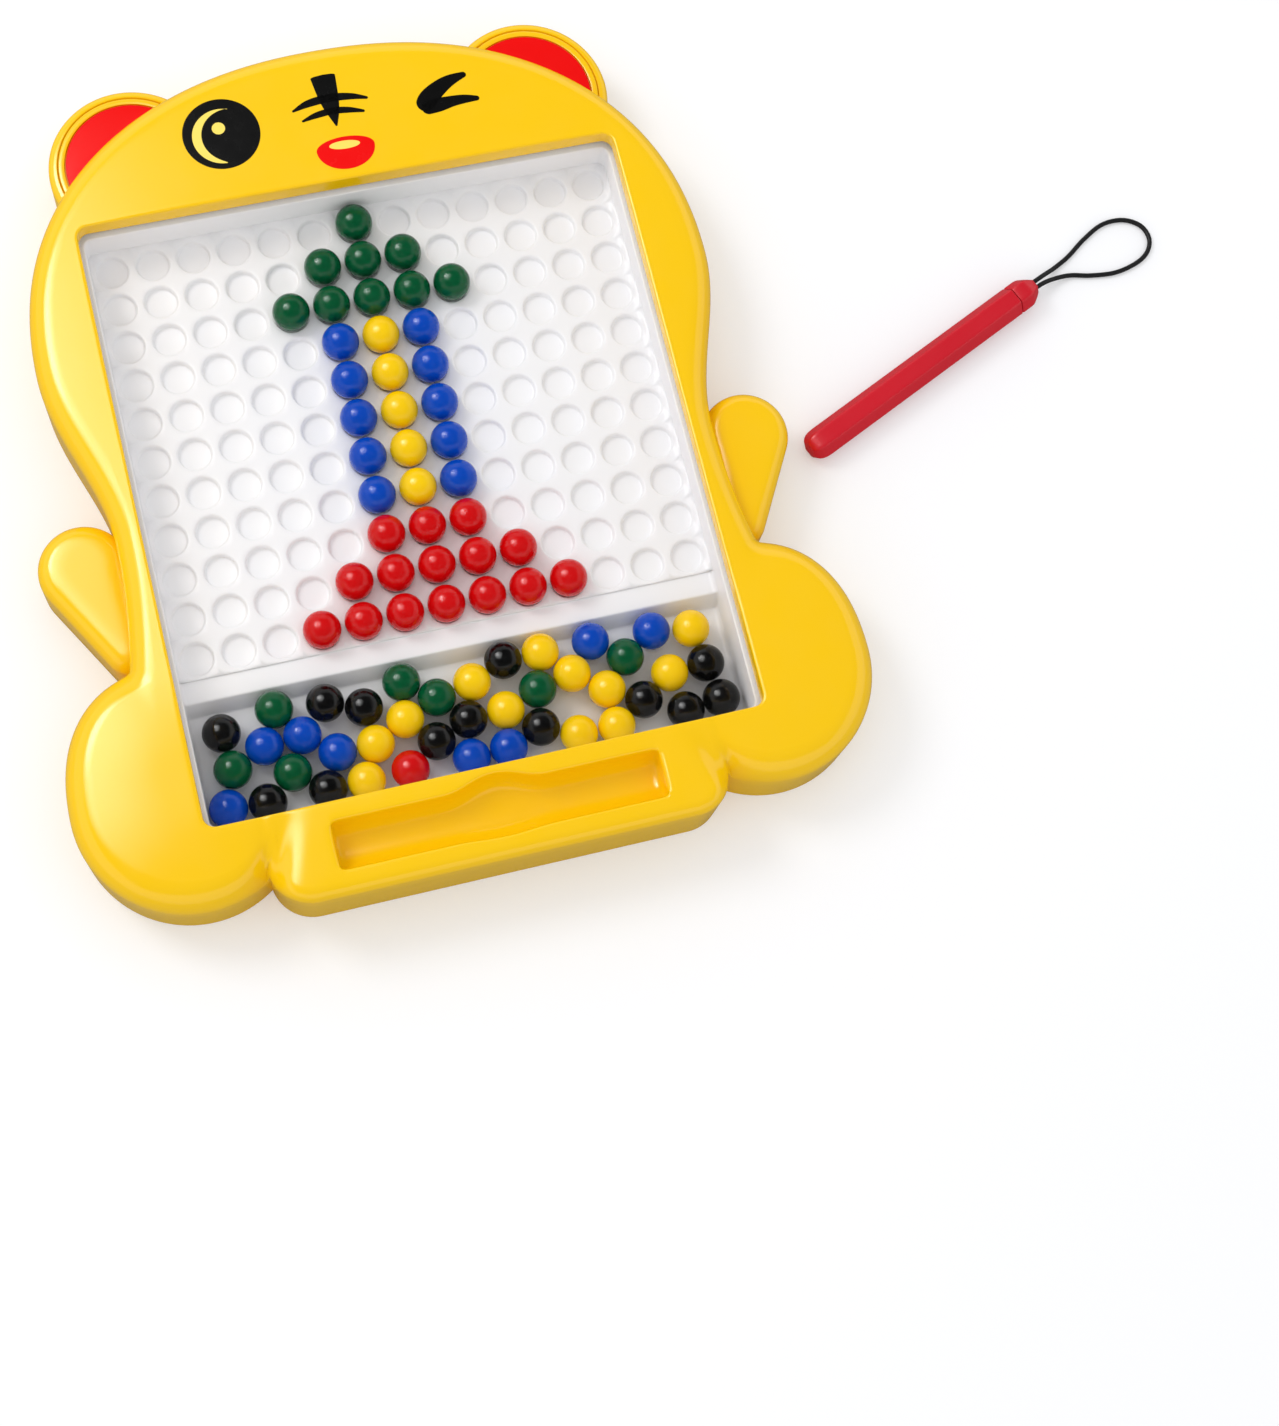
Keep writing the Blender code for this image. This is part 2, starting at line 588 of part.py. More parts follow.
def dimple_cutters():
    """One mesh of shallow spherical cups, one for each place of the grid, closed above the field."""
    ball = (DIMPLE_RADIUS ** 2 + DIMPLE_DEPTH ** 2) / (2 * DIMPLE_DEPTH)
    middle = DIMPLE_RADIUS / 2
    middle_drop = DIMPLE_DEPTH - (ball - math.sqrt(ball ** 2 - middle ** 2))
    rings = ((middle, -middle_drop), (DIMPLE_RADIUS, 0.0), (DIMPLE_RADIUS, OVERRUN))
    vertices, faces = [], []
    for x, y in dimple_centres().values():
        start = len(vertices)
        vertices.append((x, y, FIELD_TOP - DIMPLE_DEPTH))
        for radius, height in rings:
            vertices += [(px, py, FIELD_TOP + height) for px, py in circle(x, y, radius, DIMPLE_SEGMENTS)]
        for i in range(DIMPLE_SEGMENTS):
            j = (i + 1) % DIMPLE_SEGMENTS
            faces.append((start, start + 1 + j, start + 1 + i))
            for level in range(len(rings) - 1):
                low = start + 1 + level * DIMPLE_SEGMENTS
                faces.append((low + i, low + j, low + DIMPLE_SEGMENTS + j, low + DIMPLE_SEGMENTS + i))
        top = start + 1 + (len(rings) - 1) * DIMPLE_SEGMENTS
        faces.append(tuple(top + i for i in range(DIMPLE_SEGMENTS)))
    return new_object("dimples", vertices, faces)


def build_dot_tray():
    """White tray: dimpled field, sloping step and trough inside one wall, with a flange at the top."""
    wall = window_outline(TRAY_WALL - WINDOW_REVEAL, TRAY_CORNER + TRAY_WALL)
    tray = prism("tray", wall, TROUGH_UNDERSIDE, TRAY_TOP)
    flange = prism("flange", window_outline(TRAY_WALL + FLANGE_WIDTH - WINDOW_REVEAL, COVER_CORNER),
                   TRAY_TOP - FLANGE_THICKNESS, TRAY_TOP)
    boolean(tray, [flange], "UNION")
    inside = prism("inside", window_outline(-WINDOW_REVEAL, TRAY_CORNER), FIELD_TOP, TRAY_TOP + OVERRUN)
    foot = rounded_rectangle(-TRAY_HALF_WIDTH, TRAY_HALF_WIDTH, TRAY_FOOT_Y, STEP_FOOT_Y + STEP_RUN + OVERRUN,
                             TRAY_CORNER)
    trough = prism("trough", foot, TROUGH_FLOOR, TRAY_TOP + OVERRUN)
    reach = TRAY_HALF_WIDTH + OVERRUN
    low, high = TROUGH_FLOOR - OVERRUN, FIELD_TOP + OVERRUN
    past = OVERRUN * STEP_RUN / STEP_HEIGHT
    step = loft("step", [[(x, STEP_FOOT_Y - past, low), (x, STEP_TOP_Y + past, high),
                          (x, TRAY_HEAD_Y, high), (x, TRAY_HEAD_Y, low)] for x in (-reach, reach)])
    boolean(trough, [step], "DIFFERENCE")
    underside = prism("underside", rounded_rectangle(
        -TRAY_HALF_WIDTH, TRAY_HALF_WIDTH, STEP_TOP_Y, TRAY_HEAD_Y, TRAY_CORNER), 0.0, FIELD_UNDERSIDE)
    boolean(tray, [inside, trough, underside, dimple_cutters()], "DIFFERENCE")
    return finish(tray, "tray_white", "dot_tray")


def build_clear_cover():
    """Clear sheet between the tray's flange and the frame's collar."""
    outline = window_outline(TRAY_WALL + FLANGE_WIDTH - WINDOW_REVEAL, COVER_CORNER)
    return finish(prism("clear_cover", outline, COVER_BOTTOM, COVER_TOP), "clear")


def build_ear_inlays():
    """Red discs in the ears' pockets, cut off along the head."""
    base = EAR_HEIGHT - INLAY_POCKET + TOUCH_GAP
    for side, name in ((-1, "ear_inlay_left"), (1, "ear_inlay_right")):
        disc = inlay_disc(name, side, INLAY_RADIUS, base, base + INLAY_THICKNESS)
        head = prism("head", inset(body_outline(), -TOUCH_GAP), 0.0, FRAME_TOP)
        boolean(disc, [head], "DIFFERENCE")
        finish(disc, "inlay_red", name)


def build_back_screws():
    """Six like screws, each a flat head and a plain shank with a blunt point."""
    profile = ((SCREW_HEAD_RADIUS, 0.0), (SCREW_HEAD_RADIUS, SCREW_HEAD_HEIGHT),
               (SCREW_RADIUS, SCREW_HEAD_HEIGHT),
               (SCREW_RADIUS, SCREW_HEAD_HEIGHT + SCREW_LENGTH - SCREW_RADIUS),
               (SCREW_RADIUS / 2, SCREW_HEAD_HEIGHT + SCREW_LENGTH))
    rings = [[(x, y, z) for x, y in circle(0.0, 0.0, radius, SMALL_ROUND_SEGMENTS)] for radius, z in profile]
    first = finish(loft("back_screw_1", rings), "steel")
    for number, (x, y) in enumerate(screw_places(), 1):
        screw = first
        if number > 1:
            screw = bpy.data.objects.new(f"back_screw_{number}", first.data)
            bpy.context.collection.objects.link(screw)
        screw.location = (x, y, SCREW_HEAD_INSET)


def bead_mesh(colour):
    """One ball, made the first time its colour is asked for."""
    name = "bead_" + colour
    if name in bpy.data.meshes:
        return bpy.data.meshes[name]
    shape = bmesh.new()
    bmesh.ops.create_uvsphere(shape, u_segments=BEAD_SEGMENTS, v_segments=BEAD_BANDS, radius=BEAD_RADIUS)
    mesh = bpy.data.meshes.new(name)
    shape.to_mesh(mesh)
    shape.free()
    mesh.materials.append(material(colour))
    mesh.shade_smooth()
    return mesh


def place_bead(name, colour, centre):
    """A bead with its origin at its centre."""
    bead = bpy.data.objects.new(name, bead_mesh(colour))
    bead.location = centre
    bpy.context.collection.objects.link(bead)


def build_beads():
    """Picture beads in their dimples, and loose beads lying in the trough."""
    seated_z = FIELD_TOP - DIMPLE_DEPTH + BEAD_SPACING + BEAD_RADIUS
    dimples = dimple_centres()
    for label, cells in PICTURE:
        for number, cell in enumerate(cells, 1):
            place_bead(f"picture_bead_{label}_{number}", label.split("_")[0], (*dimples[cell], seated_z))
    wall = BEAD_RADIUS + BEAD_SPACING
    lying_z = TROUGH_FLOOR + wall
    slant = math.hypot(STEP_RUN, STEP_HEIGHT)
    from_step = (wall * slant - wall * STEP_RUN) / STEP_HEIGHT
    for colour, (along, across) in LOOSE_BEAD_SHARES.items():
        x = (2 * along - 1) * (TRAY_HALF_WIDTH - wall)
        y = STEP_FOOT_Y - from_step - across * (TROUGH_WIDTH - from_step - wall)
        place_bead("loose_bead_" + colour, colour, (x, y, lying_z))


def hexagon(x, scale):
    """The pen's section at a place along it, lying on a flat."""
    radius = PEN_CORNER_RADIUS * scale
    return [(x, radius * math.cos(math.pi * k / 3), radius * math.sin(math.pi * k / 3)) for k in range(6)]


def bore_solid(name, radius, start, end):
    """A round solid along the pen."""
    section = circle(0.0, 0.0, radius, SMALL_ROUND_SEGMENTS)
    return loft(name, [[(x, y, z) for y, z in section] for x in (start, end)])


def smooth_points(route, spacing):
    """Evenly spaced points on a Catmull-Rom curve through a route."""
    knots = np.array(route)
    padded = np.vstack([2 * knots[0] - knots[1], knots, 2 * knots[-1] - knots[-2]])
    t = np.linspace(0, 1, CORD_SAMPLES, endpoint=False)[:, None]
    pieces = []
    for a, b, c, d in zip(padded, padded[1:], padded[2:], padded[3:]):
        pieces.append(((2 * b) + (c - a) * t + (2 * a - 5 * b + 4 * c - d) * t ** 2
                       + (3 * b - a - 3 * c + d) * t ** 3) / 2)
    fine = np.vstack(pieces + [knots[-1:]])
    along = np.concatenate([[0], np.cumsum(np.linalg.norm(np.diff(fine, axis=0), axis=1))])
    wanted = np.linspace(0, along[-1], int(round(along[-1] / spacing)) + 1)
    return np.stack([np.interp(wanted, along, fine[:, k]) for k in range(3)], axis=1)


def build_pen():
    """Hexagonal pen on the floor beside the board: barrel, magnet, end cap and cord loop."""
    pen = bpy.data.objects.new("pen_axis", None)
    pen.location = (PEN_CENTRE_X, PEN_CENTRE_Y, PEN_ACROSS_FLATS / 2)
    pen.rotation_euler = (0, 0, PEN_ANGLE)
    bpy.context.collection.objects.link(pen)
    tip, end = -PEN_LENGTH / 2, PEN_LENGTH / 2
    seam = end - PEN_CAP_LENGTH

    rings = [hexagon(tip + PEN_TIP_LENGTH * share, scale) for share, scale in PEN_END_SHARES]
    barrel = loft("pen_barrel", rings + [hexagon(seam, 1)])
    bore_end = tip + PEN_TIP_WALL
    boolean(barrel, [bore_solid("bore", PEN_BORE_RADIUS, bore_end, seam + OVERRUN)], "DIFFERENCE")
    finish(barrel, "pen_red", "pen_barrel")

    magnet_radius = PEN_BORE_RADIUS - TOUCH_GAP
    magnet_start = bore_end + TOUCH_GAP
    magnet = bore_solid("pen_magnet", magnet_radius, magnet_start, magnet_start + MAGNET_LENGTH)
    finish(magnet, "magnet")

    cap_start = seam + TOUCH_GAP
    rings = [hexagon(end - PEN_TIP_LENGTH * share, scale) for share, scale in reversed(PEN_END_SHARES)]
    cap = loft("pen_end_cap", [hexagon(cap_start, 1)] + rings)
    spigot = bore_solid("spigot", magnet_radius, seam - CAP_SPIGOT_LENGTH, cap_start + TOUCH_GAP)
    boolean(cap, [spigot], "UNION")
    half_wide, half_high = CORD_DIAMETER + 2 * TOUCH_GAP, CORD_DIAMETER / 2 + TOUCH_GAP
    slot = loft("slot", [[(x, half_wide, half_high), (x, -half_wide, half_high), (x, -half_wide, -half_high),
                          (x, half_wide, -half_high)] for x in (end - CORD_SLOT_DEPTH, end + OVERRUN)])
    boolean(cap, [slot], "DIFFERENCE")
    finish(cap, "pen_red", "pen_end_cap")

    points = smooth_points(LOOP_ROUTE, CORD_POINT_SPACING)
    line = bpy.data.curves.new("pen_loop", "CURVE")
    line.dimensions = "3D"
    spline = line.splines.new("POLY")
    spline.points.add(len(points) - 1)
    for point, (x, y, z) in zip(spline.points, points):
        point.co = (end + x, y, z - PEN_ACROSS_FLATS / 2, 1)
    line.bevel_depth = CORD_DIAMETER / 2
    line.bevel_resolution = LOOP_SIDES_RESOLUTION
    line.use_fill_caps = True
    line.materials.append(material("cord_black"))
    loop = bpy.data.objects.new("pen_loop", line)
    bpy.context.collection.objects.link(loop)

    for piece in (barrel, magnet, cap, loop):
        piece.parent = pen


for old in list(bpy.context.scene.objects):
    bpy.data.objects.remove(old)
build_front_shell()
build_back_cover()
build_dot_tray()
build_clear_cover()
build_ear_inlays()
build_back_screws()
build_beads()
build_pen()
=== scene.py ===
"""Looks of the magnetic drawing board: its pieces, their finishes, the studio and the camera.

Lengths in the shape maths are millimetres in the board's own frame: +X right, +Y to the head, +Z up
from the floor, with the origin at the middle of the flat back. make_piece turns them into metres.
"""

import math

import bmesh
import bpy
import numpy as np
from mathutils import Matrix, Vector


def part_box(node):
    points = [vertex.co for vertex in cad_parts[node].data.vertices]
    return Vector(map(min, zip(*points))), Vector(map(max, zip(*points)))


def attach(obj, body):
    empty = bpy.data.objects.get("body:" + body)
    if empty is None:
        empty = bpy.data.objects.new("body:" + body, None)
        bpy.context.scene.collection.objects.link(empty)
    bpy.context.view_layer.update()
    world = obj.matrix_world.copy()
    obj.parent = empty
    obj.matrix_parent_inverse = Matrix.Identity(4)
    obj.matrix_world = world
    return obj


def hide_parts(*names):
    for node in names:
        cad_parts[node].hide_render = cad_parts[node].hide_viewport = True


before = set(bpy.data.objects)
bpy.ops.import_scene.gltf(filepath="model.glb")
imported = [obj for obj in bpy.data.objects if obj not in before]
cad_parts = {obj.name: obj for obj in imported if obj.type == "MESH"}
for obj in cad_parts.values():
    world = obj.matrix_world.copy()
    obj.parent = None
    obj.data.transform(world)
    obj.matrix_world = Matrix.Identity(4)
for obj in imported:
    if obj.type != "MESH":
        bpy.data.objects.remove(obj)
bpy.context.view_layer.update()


# Camera: it looks down on the board from beyond its feet, rolled so that the head leans to the left.
# The picture is 1279 by 1426, and the sensor's height is the longer side.
PICTURE_HEIGHT = 1426
FOCAL_PIXELS = 2400
SENSOR_HEIGHT = 36.0
CAMERA_PLACE = Vector((-0.067573, -0.241783, 0.700128))
CAMERA_RIGHT = Vector((0.9633368, -0.2448254, 0.1097394))
CAMERA_UP = Vector((0.2134823, 0.9472165, 0.2391784))

camera_data = bpy.data.cameras.new("camera")
camera_data.sensor_fit = "VERTICAL"
camera_data.sensor_height = SENSOR_HEIGHT
camera_data.lens = SENSOR_HEIGHT * FOCAL_PIXELS / PICTURE_HEIGHT
camera_data.clip_start = 0.01
camera_data.clip_end = 20.0
camera = bpy.data.objects.new("camera", camera_data)
turned = Matrix((CAMERA_RIGHT, CAMERA_UP, CAMERA_RIGHT.cross(CAMERA_UP))).transposed().to_4x4()
camera.matrix_world = Matrix.Translation(CAMERA_PLACE) @ turned
bpy.context.scene.collection.objects.link(camera)
bpy.context.scene.camera = camera

# Studio: a plain white floor under one softbox at the upper left and an even white surround, with a
# glossy highlight from a card that only reflections see. None of it belongs to the board.
FLOOR_REACH = 6.0
FLOOR_COLOUR = (0.70, 0.705, 0.725)
MIRRORED_FLOOR = (0.22, 0.22, 0.22)
KEY_DIRECTION = Vector((-0.49, 0.45, 0.75))
KEY_DISTANCE = 1.3
KEY_SIZE = 0.48
KEY_POWER = 4.2
CARD_DIRECTION = Vector((-0.41, 0.35, 0.84))
CARD_DISTANCE = 1.5
CARD_RADIUS = 0.76
CARD_STRENGTH = 7.2
CARD_CORE = 0.25
CEILING_HEIGHT = 2.2
CEILING_STRENGTH = 0.04
AIM = Vector((0.0, -0.01, 0.0))
SURROUND_STRENGTH = 0.93
SEEN_FLOOR_GLOW = 0.25
BLACK = (0.0, 0.0, 0.0)
WHITE = (1.0, 1.0, 1.0)
SQUARE = ((-1, -1), (1, -1), (1, 1), (-1, 1))


class Value:
    """One output in a material's node tree: arithmetic on it adds the Math nodes that it needs."""

    def __init__(self, tree, socket=None):
        self.tree = tree
        self.socket = socket

    def add(self, kind, settings=(), inputs=(), output=0):
        """A new node: first its settings, then its sockets' values or links."""
        node = self.tree.nodes.new("ShaderNode" + kind)
        for key, setting in dict(settings).items():
            setattr(node, key, setting)
        for key, value in dict(inputs).items():
            target = node.inputs[key]
            if isinstance(value, Value):
                self.tree.links.new(value.socket, target)
            else:
                target.default_value = value
        return Value(self.tree, node.outputs[output])

    def math(self, operation, *values):
        """A Math node of one operation on these values."""
        return self.add("Math", {"operation": operation}, dict(enumerate(values)))

    def __add__(self, other):
        return self.math("ADD", self, other)

    def __mul__(self, other):
        return self.math("MULTIPLY", self, other)

    __radd__ = __add__
    __rmul__ = __mul__


def colour4(colour):
    """A colour with full alpha."""
    return (*colour, 1.0)


def blend_colours(start, share, first, second):
    """A colour between two others."""
    inputs = {0: share, 6: colour4(first), 7: colour4(second)}
    return start.add("Mix", {"data_type": "RGBA"}, inputs, output=2)


def new_material(name, colour, roughness, **sockets):
    """A Principled material: its constant sockets are set on the shader itself."""
    made = bpy.data.materials.new(name)
    made.use_nodes = True
    shader = made.node_tree.nodes["Principled BSDF"]
    shader.inputs["Base Color"].default_value = colour4(colour)
    shader.inputs["Roughness"].default_value = roughness
    for key, value in sockets.items():
        shader.inputs[key.replace("_", " ")].default_value = value
    return made, shader, Value(made.node_tree)


def link(value, shader, socket):
    """Feed one socket of a shader."""
    value.tree.links.new(value.socket, shader.inputs[socket])


floor_mesh = bpy.data.meshes.new("floor")
floor_mesh.from_pydata([(x * FLOOR_REACH, y * FLOOR_REACH, 0.0) for x, y in SQUARE], [], [(0, 1, 2, 3)])
floor = bpy.data.objects.new("floor", floor_mesh)
bpy.context.scene.collection.objects.link(floor)
floor_finish, floor_shader, floor_start = new_material("floor_white", FLOOR_COLOUR, 0.9)
# Reflections see the floor in a dark grey instead of its own colour: a painted darker reflection of the
# floor, which keeps gloss from turning milky.
mirrored = floor_start.add("LightPath", output="Is Glossy Ray")
link(blend_colours(floor_start, mirrored, FLOOR_COLOUR, MIRRORED_FLOOR), floor_shader, "Base Color")
seen = floor_start.add("LightPath", output="Is Camera Ray")
link(blend_colours(floor_start, seen, BLACK, WHITE), floor_shader, "Emission Color")
floor_shader.inputs["Emission Strength"].default_value = SEEN_FLOOR_GLOW
floor_mesh.materials.append(floor_finish)

key_data = bpy.data.lights.new("key_softbox", "AREA")
key_data.shape = "DISK"
key_data.size = KEY_SIZE
key_data.energy = KEY_POWER
key_lamp = bpy.data.objects.new("key_softbox", key_data)
key_lamp.location = AIM + KEY_DIRECTION.normalized() * KEY_DISTANCE
key_lamp.rotation_euler = KEY_DIRECTION.to_track_quat("Z", "Y").to_euler()
bpy.context.scene.collection.objects.link(key_lamp)


def reflected_panel(name, corners, strength, centre=None, reach=1.0):
    """A flat panel that only reflections see: a dark ceiling keeps gloss from turning milky, and a
    bright card that fades from its centre out lays a soft highlight on it."""
    mesh = bpy.data.meshes.new(name)
    mesh.from_pydata([tuple(corner) for corner in corners], [], [tuple(range(len(corners)))])
    panel = bpy.data.objects.new(name, mesh)
    bpy.context.scene.collection.objects.link(panel)
    finish, shader, start = new_material(name, BLACK, 1.0)
    shader.inputs["Emission Color"].default_value = colour4(WHITE)
    shader.inputs["Emission Strength"].default_value = strength
    if centre:
        place = start.add("TexCoord", output="Object")
        off = start.add("VectorMath", {"operation": "DISTANCE"}, {0: place, 1: centre}, output="Value")
        fade = {"Value": off, "From Min": reach * CARD_CORE, "From Max": reach, "To Min": 1.0, "To Max": 0.0}
        link(start.add("MapRange", {"interpolation_type": "SMOOTHSTEP"}, fade, output="Result"), shader,
             "Emission Color")
    mesh.materials.append(finish)
    for unseen in ("visible_camera", "visible_diffuse", "visible_transmission", "visible_shadow",
                   "visible_volume_scatter"):
        setattr(panel, unseen, False)


ceiling_reach = FLOOR_REACH / 2
reflected_panel("studio_ceiling", [(y * ceiling_reach, x * ceiling_reach, CEILING_HEIGHT) for x, y in SQUARE],
                CEILING_STRENGTH)
card_turn = CARD_DIRECTION.to_track_quat("Z", "Y")
card_centre = AIM + CARD_DIRECTION.normalized() * CARD_DISTANCE
card_rim = [card_centre + card_turn @ Vector((CARD_RADIUS * math.cos(turn), CARD_RADIUS * math.sin(turn), 0))
            for turn in np.linspace(0, 2 * math.pi, 32, endpoint=False)]
reflected_panel("highlight_card", card_rim, CARD_STRENGTH, tuple(card_centre), CARD_RADIUS)

world = bpy.data.worlds.new("surround")
bpy.context.scene.world = world
world.use_nodes = True
backdrop = world.node_tree.nodes["Background"]
surround = Value(world.node_tree)
direct = surround.add("LightPath", output="Is Camera Ray")
glossy = surround.add("LightPath", output="Is Glossy Ray")
through = surround.add("LightPath", output="Is Transmission Ray")
white_seen = surround.math("MAXIMUM", surround.math("MAXIMUM", direct, through), glossy)
surround_light = white_seen * (1.0 - SURROUND_STRENGTH) + SURROUND_STRENGTH
surround.tree.links.new(surround_light.socket, backdrop.inputs["Strength"])
backdrop.inputs["Color"].default_value = colour4(WHITE)
bpy.context.scene.view_settings.view_transform = "Standard"

# Pen: a hexagonal barrel of crimson plastic with a magnet in its blunt tip, closed by an end cap.
# A loop of thin black cord leaves a slot in the middle of the cap's face and comes back into it.
PEN_CENTRE = (165.4, -3.2, 4.5)
PEN_ANGLE = math.radians(24.3)
PEN_HALF_LENGTH = 47.2
PEN_APOTHEM = 4.5
PEN_EDGE_SHARPNESS = 26
PEN_SIDES_SAMPLES = 72
PEN_END_LENGTH = 5.0
PEN_CAP_LENGTH = 9.0
PEN_SEAM = 0.3
SEAM_ROUNDING = 0.35
BORE_RADIUS = 2.6
SPIGOT_RADIUS = 2.3
SPIGOT_LENGTH = 6.0
SPIGOT_CHAMFER = 0.3
BORE_ROOM = 1.0
CORD_SLOT_HALF_WIDTH = 2.0
CORD_SLOT_HALF_HEIGHT = 1.05
CORD_SLOT_DEPTH = 4.9
CORD_DIAMETER = 1.5
CORD_SPACING = 1.4
# How the section grows from a rounded end: (share of the end's length, share of the section)
TIP_SHARES = ((0.0, 0.0), (0.0, 0.46), (0.03, 0.57), (0.10, 0.69), (0.22, 0.81), (0.40, 0.91),
              (0.65, 0.975), (1.0, 1.0))
CAP_SHARES = ((0.0, 0.46), (0.02, 0.50), (0.10, 0.575), (0.28, 0.70), (0.50, 0.83), (0.66, 0.92),
              (0.80, 0.975), (1.0, 1.0))
# The cord's route, in metres as in the frame's own source: along the pen from its end face, sideways,
# and above the floor
LOOP_ROUTE = (
    (-0.0046, 0.00100, 0.0045), (0.0025, 0.00100, 0.0044), (0.0070, 0.00115, 0.0028),
    (0.0115, 0.00130, 0.0011), (0.0180, 0.00170, 0.0008), (0.0260, 0.00320, 0.0008),
    (0.0345, 0.00360, 0.0008), (0.0412, 0.00080, 0.0008), (0.0448, -0.00420, 0.0008),
    (0.0442, -0.00930, 0.0008), (0.0405, -0.01250, 0.0008), (0.0350, -0.01330, 0.0008),
    (0.0270, -0.01170, 0.0008), (0.0195, -0.00760, 0.0008), (0.0142, -0.00380, 0.0010),
    (0.0085, -0.00180, 0.0023), (0.0025, -0.00100, 0.0043), (-0.0046, -0.00100, 0.0045),
)


def mottle(start, size, detail=3.0):
    """Soft uneven patches of one size in millimetres, from 0 to 1, fixed to the piece."""
    inputs = {"Vector": start.add("TexCoord", output="Object"), "Scale": 1000.0 / size, "Detail": detail}
    return start.add("TexNoise", inputs=inputs, output="Fac")


def wandering(name, colour, roughness, patch, spread, least, **sockets):
    """A material whose roughness wanders in patches of one size: from its least, up by the spread."""
    made, shader, start = new_material(name, colour, roughness, **sockets)
    link(mottle(start, patch) * spread + least, shader, "Roughness")
    return made, shader, start


def raise_grain(start, shader, grain, height, strength=1.0):
    """Let a pattern stand out of the surface by a height in millimetres."""
    inputs = {"Height": grain, "Strength": strength, "Distance": height / 1000.0}
    link(start.add("Bump", inputs=inputs, output="Normal"), shader, "Normal")


def moulded(name, colour, deeper, roughness, grain_size, grain_height, **sockets):
    """Moulded plastic: colour that deepens in faint patches, gloss that wanders, and a fine mould grain.
    The grain's size and height are millimetres."""
    made, shader, start = wandering(name, colour, roughness, 9.0, 0.10, roughness - 0.05, **sockets)
    link(blend_colours(start, mottle(start, 60.0), colour, deeper), shader, "Base Color")
    raise_grain(start, shader, mottle(start, grain_size, 2.0), grain_height)
    return made


def refinish(node, made):
    """Give one of the frame's own nodes its finish."""
    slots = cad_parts[node].data.materials
    slots.clear()
    slots.append(made)


def grid_faces(rows, columns, loop_rows, loop_columns):
    """Faces of four corners between neighbouring points of a grid. A looped side joins its ends."""
    row = np.arange(rows if loop_rows else rows - 1)[:, None]
    column = np.arange(columns if loop_columns else columns - 1)[None, :]
    next_row = (row + 1) % rows
    next_column = (column + 1) % columns
    corners = (row * columns + column, row * columns + next_column,
               next_row * columns + next_column, next_row * columns + column)
    return np.stack(np.broadcast_arrays(*corners), axis=-1).reshape(-1, 4)


def grid_skin(grid, loop_rows, loop_columns):
    """A grid of points as a skin: its points in one list, and its faces."""
    return grid.reshape(-1, 3), grid_faces(*grid.shape[:2], loop_rows, loop_columns)


def make_piece(name, points, faces, finish, body, slot=None, replaced=(), crisp=50.0):
    """A finished piece from points in millimetres and its faces: meeting points are merged, closed
    skins face outwards, and edges steeper than the crisp angle stay sharp."""
    mesh = bpy.data.meshes.new(name)
    mesh.from_pydata((points / 1000.0).tolist(), [], faces.tolist())
    shape = bmesh.new()
    shape.from_mesh(mesh)
    bmesh.ops.remove_doubles(shape, verts=shape.verts, dist=2e-6)
    bmesh.ops.recalc_face_normals(shape, faces=shape.faces)
    shape.to_mesh(mesh)
    shape.free()
    mesh.shade_smooth()
    mesh.set_sharp_from_angle(angle=math.radians(crisp))
    mesh.materials.append(finish)
    piece = bpy.data.objects.new(name, mesh)
    bpy.context.scene.collection.objects.link(piece)
    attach(piece, body)
    if replaced:
        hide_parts(*replaced)
    return piece


def on_pen(points):
    """Points measured along the pen, sideways and up from its middle, turned and moved to where it lies."""
    along, sideways, up = points[..., 0], points[..., 1], points[..., 2]
    cos, sin = math.cos(PEN_ANGLE), math.sin(PEN_ANGLE)
    return np.stack([PEN_CENTRE[0] + cos * along - sin * sideways,
                     PEN_CENTRE[1] + sin * along + cos * sideways, PEN_CENTRE[2] + up], axis=-1)


def smooth_line(knots, spacing):
    """Evenly spaced points on a Catmull-Rom curve: between two knots it is the cubic whose slopes at
    them are half the step from the knot before to the knot after."""
    knots = np.array(knots, float)
    padded = np.vstack([2 * knots[0] - knots[1], knots, 2 * knots[-1] - knots[-2]])
    t = np.linspace(0, 1, 24, endpoint=False)[:, None]
    pieces = [((2 * b) + (c - a) * t + (2 * a - 5 * b + 4 * c - d) * t ** 2
               + (3 * b - a - 3 * c + d) * t ** 3) / 2
              for a, b, c, d in zip(padded, padded[1:], padded[2:], padded[3:])]
    return evenly(np.vstack(pieces + [knots[-1:]]), spacing)


def lengths_along(line):
    """The length along a line up to each of its points."""
    return np.concatenate([[0], np.cumsum(np.linalg.norm(np.diff(line, axis=0), axis=1))])


def points_at(line, wanted):
    """Points of a line at the wanted lengths along it."""
    along = lengths_along(line)
    return np.stack([np.interp(wanted, along, line[:, k]) for k in range(line.shape[1])], axis=-1)


def evenly(line, spacing):
    """The same line with its points about one spacing apart."""
    whole = lengths_along(line)[-1]
    return points_at(line, np.linspace(0, whole, max(2, int(round(whole / spacing)) + 1)))


def pen_section(rows):
    """Points of the pen's sections. A row is (place along the pen, half-width, half-height, roundness).
    A hexagon's radius at an angle is 1 over the m-norm of the cosines to its six flats, which rounds
    its corners, and roundness mixes it with a circle."""
    turn = np.linspace(0, 2 * np.pi, PEN_SIDES_SAMPLES, endpoint=False)
    flats = np.pi / 6 + np.pi / 3 * np.arange(6)
    lean = np.maximum(0, np.cos(turn[:, None] - flats))
    hexagon = (lean ** PEN_EDGE_SHARPNESS).sum(axis=1) ** (-1 / PEN_EDGE_SHARPNESS)
    place, half_width, half_height, roundness = np.array(rows, float).T[..., None]
    radius = hexagon + (1 - hexagon) * roundness
    along = np.broadcast_to(place, radius.shape)
    return on_pen(np.stack([along, half_width * radius * np.cos(turn), half_height * radius * np.sin(turn)],
                           axis=-1))


def pen_rows(places, scales):
    """Hexagonal rows whose size is a share of the pen's own."""
    return [(place, scale * PEN_APOTHEM, scale * PEN_APOTHEM, 0.0) for place, scale in zip(places, scales)]


def round_rows(rows):
    """Round rows from pairs of place and radius."""
    return [(place, radius, radius, 1.0) for place, radius in rows]


